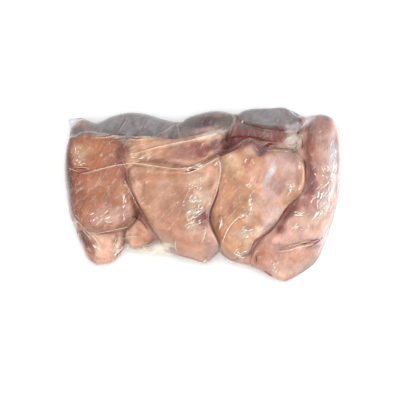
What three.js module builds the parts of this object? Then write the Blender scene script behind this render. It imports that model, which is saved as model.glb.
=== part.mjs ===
// A clear vacuum pack of raw chicken breast fillets, lying flat, in millimetres with +Z up.
// Four fillets lie side by side on the base, and six more pieces are draped over them. The film is drawn
// tight over the whole heap, so the pack's outer form is the heap's own form with its narrow gaps bridged.
// X runs along the pack, Y from its near edge to its far edge. The origin is the middle of the flat base.

import * as THREE from "three";
import { mergeVertices } from "three/addons/utils/BufferGeometryUtils.js";

// Driving dimensions
const SIDE_HEIGHT = 12; // height of the pack's widest line, where an upper and a lower skin meet
const SIDE_RISE = 0.045; // the widest line is this much higher for each millimetre towards the far edge
const FILM_GAP = 0.4; // from a fillet's surface to the outside of the film
const WEB = 1; // thickness of the film where two skins lie flat on each other
const SUCTION = 0.12; // how far the film is drawn in at each pass of its relaxation
const SOLE = 7; // exponent of a fillet's flatter lower side
const FILL_MARGIN = 0.9; // from the meat's outline to the film's, where the film is tight
const PRESS_LEVEL = 42; // the pack has been pressed flat: what stands higher than this is lowered
const PRESS_SOFTNESS = 10; // the change of slope is spread over this height
const PRESS_SHARE = 0.4; // far over the level, this share of the height is left

// Each fillet's outline goes round its middle, anticlockwise, and meets each direction from there once.
// Where it comes as near to the film's outline as fill, it is drawn out to it. rise is the fillet's thickness
// above what it rests on, crown is the exponent of its crowned upper side, where a high one has a flat top
// and steep edges, and lean tips the thickness towards one end, in X and Y.
const FILLETS = [
  {
    name: "lower left",
    middle: [-92, 14],
    outline: [
      [-60, 12], [-46, 40], [-29, 70], [-40, 86], [-62, 91], [-84, 93], [-104, 88], [-121, 79],
      [-142, 76], [-148, 58], [-148, 30], [-145, -5], [-138, -36], [-130, -60], [-117, -77],
      [-102, -75], [-93, -66], [-86, -44], [-74, -12],
    ],
    fill: 13,
    rise: 19,
    crown: 5,
    lean: [0, 0.001],
  },
  {
    name: "lower middle left",
    middle: [-22, 4],
    outline: [
      [8, 22], [20, 50], [37, 80], [30, 91], [12, 94], [-14, 87], [-28, 76], [-42, 46], [-60, 8],
      [-78, -28], [-86, -47], [-81, -57], [-70, -60], [-61, -57], [-53, -50], [-40, -53], [-28, -62],
      [-8, -70], [6, -66], [8, -45], [3, -12],
    ],
    fill: 5,
    rise: 20,
    crown: 5,
    lean: [0, 0.002],
  },
  {
    name: "lower middle right",
    middle: [58, 12],
    outline: [
      [98, -4], [110, 30], [112, 60], [110, 80], [98, 92], [80, 97], [60, 96], [38, 87], [22, 50],
      [10, 20], [5, -10], [10, -44], [14, -60], [24, -67], [36, -73], [50, -74], [60, -66], [76, -40],
    ],
    fill: 13,
    rise: 19,
    crown: 5,
    lean: [0, 0.001],
  },
  {
    name: "lower right",
    middle: [122, 0],
    outline: [
      [147, 8], [149, 36], [147, 62], [140, 78], [128, 84], [115, 78], [114, 50], [110, 24], [100, -6],
      [80, -42], [65, -66], [76, -78], [90, -86], [108, -80], [124, -68], [134, -48], [141, -22],
    ],
    fill: 13,
    rise: 16,
    crown: 4,
    lean: [0, 0.002],
  },
  {
    name: "far strip",
    middle: [76, 82],
    outline: [
      [111, 80], [104, 90], [92, 97], [76, 98], [60, 96], [47, 93], [37, 84], [46, 74], [62, 69],
      [78, 67], [94, 66], [106, 70],
    ],
    fill: 13,
    rise: 9,
    crown: 5,
    lean: [0, 0],
  },
  {
    name: "upper right",
    middle: [125, -10],
    outline: [
      [147, -10], [151, 15], [152, 40], [151, 62], [146, 80], [134, 90], [122, 90], [112, 84],
      [106, 70], [101, 48], [93, 26], [84, 6], [76, -14], [62, -38], [54, -60], [56, -78], [74, -90],
      [89, -97], [108, -86], [125, -74], [137, -54], [143, -30],
    ],
    fill: 13,
    rise: 22,
    crown: 4,
    lean: [0, 0.002],
  },
  {
    name: "upper left",
    middle: [-112, 7],
    outline: [
      [-70, 6], [-73, 22], [-77, 41], [-91, 57], [-112, 62], [-135, 63], [-151, 47], [-153, 24],
      [-150, 7], [-148, -8], [-144, -26], [-132, -41], [-112, -47], [-91, -45], [-75, -33], [-68, -12],
    ],
    fill: 13,
    rise: 21,
    crown: 9,
    lean: [0.001, 0.001],
  },
  {
    name: "upper back",
    middle: [-32, 35],
    outline: [
      [22, 34], [25, 50], [18, 61], [4, 60], [-12, 57], [-26, 54], [-42, 55], [-58, 57], [-74, 57],
      [-86, 50], [-90, 36], [-80, 17], [-58, 11], [-32, 10], [-10, 12], [8, 18],
    ],
    fill: 13,
    rise: 24,
    crown: 9,
    lean: [0, 0],
  },
  {
    name: "upper middle right",
    middle: [51, -6],
    outline: [
      [106, -6], [110, 10], [107, 27], [97, 38], [84, 43], [68, 46], [53, 56], [40, 52], [26, 42],
      [14, 30], [8, 8], [5, -20], [6, -42], [13, -58], [23, -70], [36, -72], [49, -69], [60, -56],
      [68, -48], [79, -37], [88, -24], [99, -13],
    ],
    fill: 6,
    rise: 25,
    crown: 11,
    lean: [0, 0.002],
  },
  {
    name: "upper middle left",
    middle: [-27, -16],
    outline: [
      [12, -12], [17, 6], [20, 22], [16, 34], [4, 28], [-12, 22], [-30, 24], [-50, 27], [-70, 27],
      [-82, 20], [-81, 5], [-74, -12], [-66, -28], [-56, -43], [-44, -56], [-30, -66], [-14, -73],
      [0, -77], [11, -70], [17, -62], [10, -48], [6, -30],
    ],
    fill: 4,
    rise: 22,
    crown: 11,
    lean: [0.001, -0.004],
  },
];

// The line where the upper and lower film meet, as four curves: each runs the way its name says.
const FAR_EDGE = [
  [-152, 85, 9],
  [-137, 85.5, 9],
  [-120, 79.5, 12],
  [-103, 87, 14],
  [-83, 91.5, 15],
  [-62, 89, 15],
  [-43, 83, 15],
  [-26, 80.5, 14],
  [-15, 87, 15],
  [12, 93.5, 16],
  [31, 90.5, 15],
  [38, 90, 15],
  [49, 94.5, 16],
  [72, 95.5, 16],
  [87, 97, 16],
  [96, 94.5, 16],
  [105, 86.5, 16],
  [112, 86, 16],
  [122, 88, 16],
  [132, 89.5, 16],
];
const RIGHT_EDGE = [
  [88, -99, 7],
  [97, -95, 8],
  [109, -87, 9],
  [121.5, -77.5, 9],
  [128.5, -66, 10],
  [136.5, -46, 11],
  [145, -20, 12],
  [149.5, 2, 13],
  [153, 31, 14],
  [152, 54, 14],
  [151, 73, 15],
  [144, 85, 16],
  [132, 89.5, 16],
];
const NEAR_EDGE = [
  [-118, -80, 8],
  [-102, -78, 8],
  [-94, -71, 9],
  [-84, -61, 9],
  [-72, -65, 7],
  [-59, -67, 6],
  [-42, -67, 6],
  [-28, -70, 7],
  [-13, -74, 8],
  [2, -78, 8],
  [10, -72, 9],
  [17, -66, 9],
  [22, -70, 9],
  [31, -76, 8],
  [49, -80.5, 8],
  [64, -87, 8],
  [77, -94, 7],
  [88, -99, 7],
];
const LEFT_EDGE = [
  [-118, -80, 8],
  [-127, -73, 9],
  [-132, -62, 9],
  [-138, -49, 10],
  [-141, -38, 11],
  [-146, -28, 11],
  [-149, -13, 12],
  [-151, 2, 12],
  [-153, 14, 13],
  [-154, 30, 13],
  [-153, 48, 14],
  [-150, 62, 12],
  [-149, 72, 9],
  [-152, 85, 9],
];

// Resolution of the height field, and of the skin that is laid over it
const CELL = 2;
const DRAPE_PASSES = 16;
const FILM_PASSES = 4;
const UNDERSIDE_PASSES = 14; // the film under the pack spans the grooves between the lower fillets
const ACROSS = 62; // cells of the skin along X, away from its rim
const ALONG = 30; // cells of the skin along Y, away from its rim
const RING_POINTS = 48; // points of each edge, where the room up to the film is measured
const OUTLINE_STEPS = 240; // turns at which a fillet's outline is kept
const CURVE_STEPS = 8; // steps of an outline's curve from one of its points to the next
const RIM_CELLS = 3; // finer cells on each side of the rim
const RIM_SHARE = 0.04; // share of the pack's size that they take up
const INSIDE_GRID = 1.001; // keeps a lookup off the height field's last row and column
const MERGE_DISTANCE = 1e-4;

const HALF_LENGTH = 166;
const HALF_WIDTH = 112;
const COLUMNS = Math.round((2 * HALF_LENGTH) / CELL) + 1;
const ROWS = Math.round((2 * HALF_WIDTH) / CELL) + 1;

const clamp = (value, low, high) => Math.min(Math.max(value, low), high);

/** Height of the pack's widest line at a place. */
const sideHeight = (y) => SIDE_HEIGHT + SIDE_RISE * y;

/** The film's meeting line as a curve through its points. */
const edgeCurve = (points) =>
  new THREE.CatmullRomCurve3(
    points.map((point) => new THREE.Vector3(...point)),
    false,
    "centripetal",
  );

/** The film's outline as a closed ring of points, anticlockwise. */
const filmRing = [NEAR_EDGE, RIGHT_EDGE, FAR_EDGE.toReversed(), LEFT_EDGE.toReversed()].flatMap((points) =>
  edgeCurve(points).getSpacedPoints(RING_POINTS).slice(0, -1),
);

/** How far a closed ring of points is from a place inside it in one direction: a ray's nearest crossing. */
function reachOf(ring, [x, y], angle) {
  const [c, s] = [Math.cos(angle), Math.sin(angle)];
  const crossings = ring.map((start, i) => {
    const end = ring[(i + 1) % ring.length];
    const [ax, ay] = [start.x - x, start.y - y];
    const [bx, by] = [end.x - start.x, end.y - start.y];
    const span = c * by - s * bx;
    const share = (ax * s - ay * c) / span;
    const reach = (ax * by - ay * bx) / span;
    return share >= 0 && share <= 1 && reach > 0 ? reach : Infinity;
  });
  return Math.min(...crossings);
}

/** A value between the entries of a closed list at equal turns: a Catmull-Rom curve through them. */
function roundCurve(values, angle) {
  const count = values.length;
  const turn = (((angle / (2 * Math.PI)) * count) % count + count) % count;
  const start = Math.floor(turn);
  const t = turn - start;
  const [a, b, c, d] = [-1, 0, 1, 2].map((step) => values[(start + step + count) % count]);
  return b + 0.5 * t * (c - a + t * (2 * a - 5 * b + 4 * c - d + t * (3 * (b - c) + d - a)));
}

/** A fillet's radii at close, equal turns, drawn out to the film's outline where they come near it. */
function radiiOf({ middle, outline, fill }) {
  const corners = outline.map(([x, y]) => new THREE.Vector3(x, y, 0));
  const curve = new THREE.CatmullRomCurve3(corners, true, "catmullrom", 0.5);
  const ring = curve.getPoints(CURVE_STEPS * corners.length).slice(0, -1);
  return Array.from({ length: OUTLINE_STEPS }, (_, i) => {
    const angle = (2 * Math.PI * i) / OUTLINE_STEPS;
    const radius = reachOf(ring, middle, angle);
    const room = reachOf(filmRing, middle, angle) - FILL_MARGIN;
    const drawnOut = 1 - THREE.MathUtils.smoothstep(room - radius, fill / 2, fill);
    return Math.min(radius + (room - radius) * drawnOut, room);
  });
}

const radii = new Map(FILLETS.map((fillet) => [fillet, radiiOf(fillet)]));

/** How far out of a fillet a place is: 0 at its middle, 1 on its outline. */
function shareOut(fillet, x, y) {
  const dx = x - fillet.middle[0];
  const dy = y - fillet.middle[1];
  return Math.hypot(dx, dy) / roundCurve(radii.get(fillet), Math.atan2(dy, dx));
}

/** A height after pressing: over the press level it grows ever more slowly. */
function pressed(height) {
  const over = Math.max(height - PRESS_LEVEL, 0);
  return height - ((1 - PRESS_SHARE) * over ** 2) / (over + PRESS_SOFTNESS);
}

/** Rounded profile from 1 in the middle to 0 on the outline. */
const profile = (share, exponent) => Math.sqrt(Math.max(0, 1 - share ** exponent));

/** Upper side of a fillet at a place, over the height that it rests on there. */
function upperSide(fillet, x, y, rest) {
  const share = shareOut(fillet, x, y);
  if (share >= 1) return -Infinity;
  const dx = x - fillet.middle[0];
  const dy = y - fillet.middle[1];
  const taper = 1 + fillet.lean[0] * dx + fillet.lean[1] * dy;
  return pressed(Math.max(rest, sideHeight(y)) + fillet.rise * taper * profile(share, fillet.crown));
}

/** Lower side of a fillet at a place, which meets its upper side on the outline. */
function lowerSide(fillet, x, y, rest) {
  const share = shareOut(fillet, x, y);
  if (share >= 1) return Infinity;
  const rim = Math.max(rest, sideHeight(y));
  return rim - (rim - rest) * profile(share, SOLE);
}

/** A height field on a square grid, filled from a function of place. */
function heightField(heightOf) {
  const field = new Float64Array(COLUMNS * ROWS);
  for (let row = 0; row < ROWS; row++)
    for (let column = 0; column < COLUMNS; column++)
      field[row * COLUMNS + column] = heightOf(
        column * CELL - HALF_LENGTH,
        row * CELL - HALF_WIDTH,
        row * COLUMNS + column,
      );
  return field;
}

/** Height of a field at a place, between its grid points. */
function heightAt(field, x, y) {
  const across = clamp((x + HALF_LENGTH) / CELL, 0, COLUMNS - INSIDE_GRID);
  const along = clamp((y + HALF_WIDTH) / CELL, 0, ROWS - INSIDE_GRID);
  const column = Math.floor(across);
  const row = Math.floor(along);
  const [s, t] = [across - column, along - row];
  const at = row * COLUMNS + column;
  const near = field[at] * (1 - s) + field[at + 1] * s;
  const far = field[at + COLUMNS] * (1 - s) + field[at + COLUMNS + 1] * s;
  return near * (1 - t) + far * t;
}

/** A soft skin laid over a grid of heights: each pass evens it out, and it never sinks into them. */
function drape(heights, columns, rows, passes, suction = 0) {
  let skin = Float64Array.from(heights);
  for (let pass = 0; pass < passes; pass++) {
    const next = Float64Array.from(skin);
    for (let row = 1; row < rows - 1; row++)
      for (let column = 1; column < columns - 1; column++) {
        const at = row * columns + column;
        const mean = (skin[at - 1] + skin[at + 1] + skin[at - columns] + skin[at + columns]) / 4;
        next[at] = Math.max(heights[at], mean - suction);
      }
    skin = next;
  }
  return skin;
}

/** Lays the fillets on each other in order, and gives each the height field that it rests on. */
function stackFillets() {
  let pile = heightField(() => 0);
  return FILLETS.map((fillet) => {
    const rest = drape(pile, COLUMNS, ROWS, DRAPE_PASSES);
    pile = heightField((x, y, at) => Math.max(pile[at], upperSide(fillet, x, y, rest[at])));
    return { fillet, rest };
  });
}

/** Shares from 0 to 1 in even steps, with finer steps at both ends, where the skin turns over the rim. */
function gradedSteps(cells) {
  const rim = Array.from({ length: RIM_CELLS }, (_, i) => RIM_SHARE * (i / RIM_CELLS) ** 2);
  const core = Array.from(
    { length: cells + 1 },
    (_, i) => RIM_SHARE + ((1 - 2 * RIM_SHARE) * i) / cells,
  );
  return [...rim, ...core, ...rim.map((share) => 1 - share).reverse()];
}

/** Points of a surface that spans the four edges: opposite edges are blended, less the corners' own blend. */
function spanEdges(acrossSteps, alongSteps) {
  const [far, near] = [FAR_EDGE, NEAR_EDGE].map((points) => {
    const curve = edgeCurve(points);
    return acrossSteps.map((share) => curve.getPointAt(share));
  });
  const [left, right] = [LEFT_EDGE, RIGHT_EDGE].map((points) => {
    const curve = edgeCurve(points);
    return alongSteps.map((share) => curve.getPointAt(share));
  });
  const corner = (s, t) =>
    new THREE.Vector3()
      .addScaledVector(near[0], (1 - s) * (1 - t))
      .addScaledVector(near.at(-1), s * (1 - t))
      .addScaledVector(far[0], (1 - s) * t)
      .addScaledVector(far.at(-1), s * t);
  return alongSteps.flatMap((t, row) =>
    acrossSteps.map((s, column) =>
      new THREE.Vector3()
        .addScaledVector(near[column], 1 - t)
        .addScaledVector(far[column], t)
        .addScaledVector(left[row], 1 - s)
        .addScaledVector(right[row], s)
        .sub(corner(s, t)),
    ),
  );
}

/** The pack: an upper and a lower skin over the same plan, closed along their meeting line. */
function packGeometry() {
  const stack = stackFillets();
  const acrossSteps = gradedSteps(ACROSS);
  const alongSteps = gradedSteps(ALONG);
  const [columns, rows] = [acrossSteps.length, alongSteps.length];
  const plan = spanEdges(acrossSteps, alongSteps);
  const onRim = (at) => {
    const column = at % columns;
    const row = Math.floor(at / columns);
    return column === 0 || row === 0 || column === columns - 1 || row === rows - 1;
  };

  const highest = plan.map(({ x, y, z }, at) => {
    if (onRim(at)) return z;
    const tops = stack.map(({ fillet, rest }) => upperSide(fillet, x, y, heightAt(rest, x, y)));
    return Math.max(0, Math.max(...tops) + FILM_GAP);
  });
  const lowest = plan.map(({ x, y, z }, at) => {
    if (onRim(at)) return z;
    const soles = stack.map(({ fillet, rest }) => lowerSide(fillet, x, y, heightAt(rest, x, y)));
    return Math.max(0, Math.min(...soles, SIDE_HEIGHT) - FILM_GAP);
  });
  const upper = drape(highest, columns, rows, FILM_PASSES, SUCTION);
  const lower = drape(
    lowest.map((height) => -height),
    columns,
    rows,
    UNDERSIDE_PASSES,
  ).map((height) => -height);

  const positions = [];
  plan.forEach(({ x, y, z }, at) => {
    const top = onRim(at) ? z : Math.max(upper[at], lower[at] + WEB);
    positions.push(x, y, top);
  });
  plan.forEach(({ x, y, z }, at) => positions.push(x, y, onRim(at) ? z : Math.max(0, lower[at])));

  const index = [];
  const underside = plan.length;
  for (let row = 0; row < rows - 1; row++)
    for (let column = 0; column < columns - 1; column++) {
      const a = row * columns + column;
      const [b, c, d] = [a + 1, a + columns + 1, a + columns];
      index.push(a, b, c, a, c, d);
      index.push(underside + a, underside + c, underside + b, underside + a, underside + d, underside + c);
    }
  const geometry = new THREE.BufferGeometry();
  geometry.setAttribute("position", new THREE.Float32BufferAttribute(positions, 3));
  geometry.setIndex(index);
  return mergeVertices(geometry, MERGE_DISTANCE);
}

const filmOverMeat = new THREE.MeshStandardMaterial({
  color: 0xc69583,
  roughness: 0.25,
  metalness: 0,
});

const pack = new THREE.Mesh(packGeometry(), filmOverMeat);
pack.name = "vacuum_pack";

const group = new THREE.Group();
group.add(pack);
export default group;
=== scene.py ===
"""A clear vacuum pack of raw chicken breast fillets: ten fillets, and the film drawn tight over them.

Heights and plans are worked out in millimetres on one raster, and every mesh is written in metres.
"""

import math
from functools import lru_cache

import bpy
import numpy as np
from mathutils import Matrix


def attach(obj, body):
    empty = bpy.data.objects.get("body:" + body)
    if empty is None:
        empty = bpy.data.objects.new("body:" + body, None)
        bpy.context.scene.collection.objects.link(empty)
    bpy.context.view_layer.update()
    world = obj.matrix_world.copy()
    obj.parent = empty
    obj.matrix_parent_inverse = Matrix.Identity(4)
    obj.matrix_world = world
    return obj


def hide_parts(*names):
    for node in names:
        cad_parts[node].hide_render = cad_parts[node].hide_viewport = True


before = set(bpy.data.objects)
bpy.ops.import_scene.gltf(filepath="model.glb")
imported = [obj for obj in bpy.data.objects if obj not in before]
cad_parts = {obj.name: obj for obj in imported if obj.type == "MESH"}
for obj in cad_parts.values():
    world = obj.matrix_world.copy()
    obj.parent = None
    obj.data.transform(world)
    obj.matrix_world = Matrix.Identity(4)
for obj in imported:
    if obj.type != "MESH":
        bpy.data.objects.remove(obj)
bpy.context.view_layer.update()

bl_info = {
    "name": "Vacuum pack of chicken fillets",
    "version": (1, 0, 0),
    "blender": (4, 5, 0),
    "location": "View3D > Sidebar > Vacuum pack",
    "description": "Builds raw chicken breast fillets under tight clear film",
    "category": "Add Mesh",
}

MM = 0.001

# -------------------------------------------------------------------------------------------------------
# The fillets, as they lie, in millimetres and degrees. An outline goes round its fillet's middle,
# anticlockwise, and meets each direction from there once. Where it comes as near to the film's edge as
# fill, it is drawn out to it. rise is the thickness over what the fillet rests on, crown is the exponent
# of its crowned upper side (a high one has a flat top and steep edges), lean tips its thickness, and
# grain is its fibres' direction.

FILLETS = [
    {
        "name": "lower_left",
        "middle": (-92, 14),
        "outline": (
            (-60, 12), (-46, 40), (-29, 70), (-40, 86), (-62, 91), (-84, 93), (-104, 88), (-121, 79),
            (-142, 76), (-148, 58), (-148, 30), (-145, -5), (-138, -36), (-130, -60), (-117, -77),
            (-102, -75), (-93, -66), (-86, -44), (-74, -12),
        ),
        "fill": 13, "rise": 19, "crown": 5, "lean": (0, 0.001),
        "grain": 80, "tint": "pale_lean",
    },
    {
        "name": "lower_middle_left",
        "middle": (-22, 4),
        "outline": (
            (8, 22), (20, 50), (37, 80), (30, 91), (12, 94), (-14, 87), (-28, 76), (-42, 46), (-60, 8),
            (-78, -28), (-86, -47), (-81, -57), (-70, -60), (-61, -57), (-53, -50), (-40, -53),
            (-28, -62), (-8, -70), (6, -66), (8, -45), (3, -12),
        ),
        "fill": 5, "rise": 20, "crown": 5, "lean": (0, 0.002),
        "grain": 70, "tint": "peach_lean",
    },
    {
        "name": "lower_middle_right",
        "middle": (58, 12),
        "outline": (
            (98, -4), (110, 30), (112, 60), (110, 80), (98, 92), (80, 97), (60, 96), (38, 87), (22, 50),
            (10, 20), (5, -10), (10, -44), (14, -60), (24, -67), (36, -73), (50, -74), (60, -66), (76, -40),
        ),
        "fill": 13, "rise": 19, "crown": 5, "lean": (0, 0.001),
        "grain": 100, "tint": "pink_lean",
    },
    {
        "name": "lower_right",
        "middle": (122, 0),
        "outline": (
            (147, 8), (149, 36), (147, 62), (140, 78), (128, 84), (115, 78), (114, 50), (110, 24),
            (100, -6), (80, -42), (65, -66), (76, -78), (90, -86), (108, -80), (124, -68), (134, -48),
            (141, -22),
        ),
        "fill": 13, "rise": 16, "crown": 4, "lean": (0, 0.002),
        "grain": 80, "tint": "pink_lean",
    },
    {
        "name": "far_strip",
        "middle": (76, 82),
        "outline": (
            (111, 80), (104, 90), (92, 97), (76, 98), (60, 96), (47, 93), (37, 84), (46, 74), (62, 69),
            (78, 67), (94, 66), (106, 70),
        ),
        "fill": 13, "rise": 9, "crown": 5, "lean": (0, 0),
        "grain": 5, "tint": "rose_lean",
    },
    {
        "name": "upper_right",
        "middle": (125, -10),
        "outline": (
            (147, -10), (151, 15), (152, 40), (151, 62), (146, 80), (134, 90), (122, 90), (112, 84),
            (106, 70), (101, 48), (93, 26), (84, 6), (76, -14), (62, -38), (54, -60), (56, -78), (74, -90),
            (89, -97), (108, -86), (125, -74), (137, -54), (143, -30),
        ),
        "fill": 13, "rise": 22, "crown": 4, "lean": (0, 0.002),
        "grain": 75, "tint": "pink_lean",
    },
    {
        "name": "upper_left",
        "middle": (-112, 7),
        "outline": (
            (-70, 6), (-73, 22), (-77, 41), (-91, 57), (-112, 62), (-135, 63), (-151, 47), (-153, 24),
            (-150, 7), (-148, -8), (-144, -26), (-132, -41), (-112, -47), (-91, -45), (-75, -33),
            (-68, -12),
        ),
        "fill": 13, "rise": 21, "crown": 9, "lean": (0.001, 0.001),
        "grain": 60, "tint": "tan_lean",
    },
    {
        "name": "upper_back",
        "middle": (-32, 35),
        "outline": (
            (22, 34), (25, 50), (18, 61), (4, 60), (-12, 57), (-26, 54), (-42, 55), (-58, 57), (-74, 57),
            (-86, 50), (-90, 36), (-80, 17), (-58, 11), (-32, 10), (-10, 12), (8, 18),
        ),
        "fill": 13, "rise": 24, "crown": 9, "lean": (0, 0),
        "grain": 25, "tint": "peach_lean",
    },
    {
        "name": "upper_middle_right",
        "middle": (51, -6),
        "outline": (
            (106, -6), (110, 10), (107, 27), (97, 38), (84, 43), (68, 46), (53, 56), (40, 52), (26, 42),
            (14, 30), (8, 8), (5, -20), (6, -42), (13, -58), (23, -70), (36, -72), (49, -69), (60, -56),
            (68, -48), (79, -37), (88, -24), (99, -13),
        ),
        "fill": 6, "rise": 25, "crown": 11, "lean": (0, 0.002),
        "grain": 65, "tint": "ochre_lean",
    },
    {
        "name": "upper_middle_left",
        "middle": (-27, -16),
        "outline": (
            (12, -12), (17, 6), (20, 22), (16, 34), (4, 28), (-12, 22), (-30, 24), (-50, 27), (-70, 27),
            (-82, 20), (-81, 5), (-74, -12), (-66, -28), (-56, -43), (-44, -56), (-30, -66), (-14, -73),
            (0, -77), (11, -70), (17, -62), (10, -48), (6, -30),
        ),
        "fill": 4, "rise": 22, "crown": 11, "lean": (0.001, -0.004),
        "grain": 45, "tint": "buff_lean",
    },
]

# The line where the upper and lower film meet, as four curves in X, Y and Z. The far and near edge run
# towards +X, the left and right edge towards +Y.
FAR_EDGE = (
    (-152, 85, 9), (-137, 85.5, 9), (-120, 79.5, 12), (-103, 87, 14), (-83, 91.5, 15), (-62, 89, 15),
    (-43, 83, 15), (-26, 80.5, 14), (-15, 87, 15), (12, 93.5, 16), (31, 90.5, 15), (38, 90, 15),
    (49, 94.5, 16), (72, 95.5, 16), (87, 97, 16), (96, 94.5, 16), (105, 86.5, 16), (112, 86, 16),
    (122, 88, 16), (132, 89.5, 16),
)
RIGHT_EDGE = (
    (88, -99, 7), (97, -95, 8), (109, -87, 9), (121.5, -77.5, 9), (128.5, -66, 10), (136.5, -46, 11),
    (145, -20, 12), (149.5, 2, 13), (153, 31, 14), (152, 54, 14), (151, 73, 15), (144, 85, 16),
    (132, 89.5, 16),
)
NEAR_EDGE = (
    (-118, -80, 8), (-102, -78, 8), (-94, -71, 9), (-84, -61, 9), (-72, -65, 7), (-59, -67, 6),
    (-42, -67, 6), (-28, -70, 7), (-13, -74, 8), (2, -78, 8), (10, -72, 9), (17, -66, 9), (22, -70, 9),
    (31, -76, 8), (49, -80.5, 8), (64, -87, 8), (77, -94, 7), (88, -99, 7),
)
LEFT_EDGE = (
    (-118, -80, 8), (-127, -73, 9), (-132, -62, 9), (-138, -49, 10), (-141, -38, 11), (-146, -28, 11),
    (-149, -13, 12), (-151, 2, 12), (-153, 14, 13), (-154, 30, 13), (-153, 48, 14), (-150, 62, 12),
    (-149, 72, 9), (-152, 85, 9),
)

SIDE_HEIGHT = 12.0  # height of the pack's widest line
SIDE_RISE = 0.045  # it is this much higher for each millimetre towards the far edge
SOLE = 7  # exponent of a fillet's flatter lower side
LUMPS = {"across": 26, "height": 0.5}  # soft lumps of the whole heap
BUNDLES = {"across": 7, "along": 34, "height": 0.12}  # bundles of muscle along a fillet's grain
DIMPLES = {"across": 5, "height": 0.05}
RELIEF_EDGE = 0.75  # the relief fades from this share of a fillet's radius to its outline
FILL_MARGIN = 0.9  # an outline that is drawn out to the film's edge ends this far inside it
OUTLINE_STEPS = 720
OUTLINE_WINDOW = 9  # radii that are averaged, so that drawn-out stretches join softly
CURVE_STEPS = 12  # steps of an outline's curve from one of its points to the next
LINE_SPAN = 16  # and of an open line's
PRESS_LEVEL = 42.0  # the pack has been pressed flat: what stands higher than this is lowered
PRESS_SOFTNESS = 10.0
PRESS_SHARE = 0.4  # far over the level, this share of the height is left
FILM_GAP = 0.4  # from a fillet's nominal surface to the film
MEAT_INSET = 0.55  # the meat lies this far inside its nominal surface, so that it never meets the film
WEB = 0.9  # least distance between the two skins where no meat is between them
SUCTION = 0.05  # how far the vacuum pulls the film down in each pass
LEAST_HEIGHT = 0.25  # of the meat over the floor

CELL = 1.0  # raster of the heap's heights
HALF_LENGTH = 166
HALF_WIDTH = 112
REST_PASSES = 90  # how softly a fillet lies over the fillets under it
FILM_PASSES = 9  # how far the film spans the narrow gaps
UNDERSIDE_PASSES = 120
FILM_ACROSS = 252  # cells of the film's plan in X, between the finer ones at its rim
FILM_ALONG = 138  # and in Y
RIM_CELLS = 14  # finer cells where the skin turns over the rim
RIM_SHARE = 0.035  # share of the film's plan that has them
RIM_CROWDING = 1.5  # exponent that makes them finer towards the rim
RINGS = 64  # rings of a fillet's mesh, from its middle to its outline
SPOKES = 250  # points in each ring
TUBE_SIDES = 8  # of a fold or a juice run
LINE_STEP = 1.2  # between the points of a fold or a juice run
SLOPE_SHIFT = (0.35, 0.9)  # how far patterns move in X and Y for each millimetre of height

CREASE_REACH = 8  # round a crease, in which its relief is worked out
CREASE_CORE = 1.6  # widths, over which the raised film comes down
CREASE_FOOT = 3.2  # widths, over which the hollow beside it fades
CREASE_HOLLOW = 0.35  # depth of that hollow for each millimetre of height
CREASE_ENDS = 0.12  # share of its length over which a crease fades at each end

# -------------------------------------------------------------------------------------------------------
# The camera stands where the photograph was taken from.

ELEVATION = math.radians(78)
LENS = 100.0
SENSOR = 36.0
FRAME_PIXELS = 400
AIM = np.array((-1.0, -6.5, 30.0))
AIM_PIXEL = (202.7, 196.0)
AIM_DEPTH = 1212.0

FORWARD = np.array((0.0, math.cos(ELEVATION), -math.sin(ELEVATION)))
UPWARD = np.array((0.0, math.sin(ELEVATION), math.cos(ELEVATION)))
SIDEWARD = np.array((1.0, 0.0, 0.0))


def sight_line(pixels):
    """Directions from the camera through pixels of the 400 x 400 view, one unit long along its axis."""
    pixels = np.atleast_2d(np.asarray(pixels, float))
    per_pixel = SENSOR / LENS / FRAME_PIXELS
    across = (pixels[:, :1] - FRAME_PIXELS / 2) * per_pixel
    upwards = (FRAME_PIXELS / 2 - pixels[:, 1:2]) * per_pixel
    return FORWARD + across * SIDEWARD + upwards * UPWARD


CAMERA_PLACE = AIM - AIM_DEPTH * sight_line(AIM_PIXEL)[0]

# -------------------------------------------------------------------------------------------------------
# Fields on the plan raster

COLUMN_X = np.arange(-HALF_LENGTH, HALF_LENGTH + CELL, CELL)
ROW_Y = np.arange(-HALF_WIDTH, HALF_WIDTH + CELL, CELL)
PLAN_X, PLAN_Y = np.meshgrid(COLUMN_X, ROW_Y)


def linear(hex_colour):
    """An sRGB hex colour as linear red, green and blue."""
    parts = np.array([int(hex_colour[i:i + 2], 16) / 255 for i in (1, 3, 5)])
    return tuple(np.where(parts <= 0.04045, parts / 12.92, ((parts + 0.055) / 1.055) ** 2.4))


def ease(low, high, value):
    """A smooth step from 0 at low to 1 at high."""
    t = np.clip((value - low) / (high - low), 0, 1)
    return t * t * (3 - 2 * t)


@lru_cache(maxsize=None)
def mottle(seed, across, along=None, turn=0.0):
    """Even noise on the plan raster, of unit strength. Its blots are across wide and along long, and lie
    at turn degrees: white noise whose spectrum is cut by a bell of that width in both directions."""
    along = along or across
    rows, columns = PLAN_X.shape
    white = np.fft.rfft2(np.random.default_rng(seed).standard_normal((rows, columns)))
    fx, fy = np.meshgrid(np.fft.rfftfreq(columns, CELL), np.fft.fftfreq(rows, CELL))
    c, s = math.cos(math.radians(turn)), math.sin(math.radians(turn))
    bell = np.exp(-(((fx * c + fy * s) * along) ** 2) - ((fy * c - fx * s) * across) ** 2)
    field = np.fft.irfft2(white * bell, s=(rows, columns))
    field -= field.mean()
    return field / field.std()


def sample(field, x, y):
    """A field's value at places between its raster's points, blended from the four round each place."""
    across = np.clip((x + HALF_LENGTH) / CELL, 0, field.shape[1] - 1.001)
    along = np.clip((y + HALF_WIDTH) / CELL, 0, field.shape[0] - 1.001)
    i, j = across.astype(int), along.astype(int)
    s, t = across - i, along - j
    near = field[j, i] * (1 - s) + field[j, i + 1] * s
    far = field[j + 1, i] * (1 - s) + field[j + 1, i + 1] * s
    return near * (1 - t) + far * t


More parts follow.
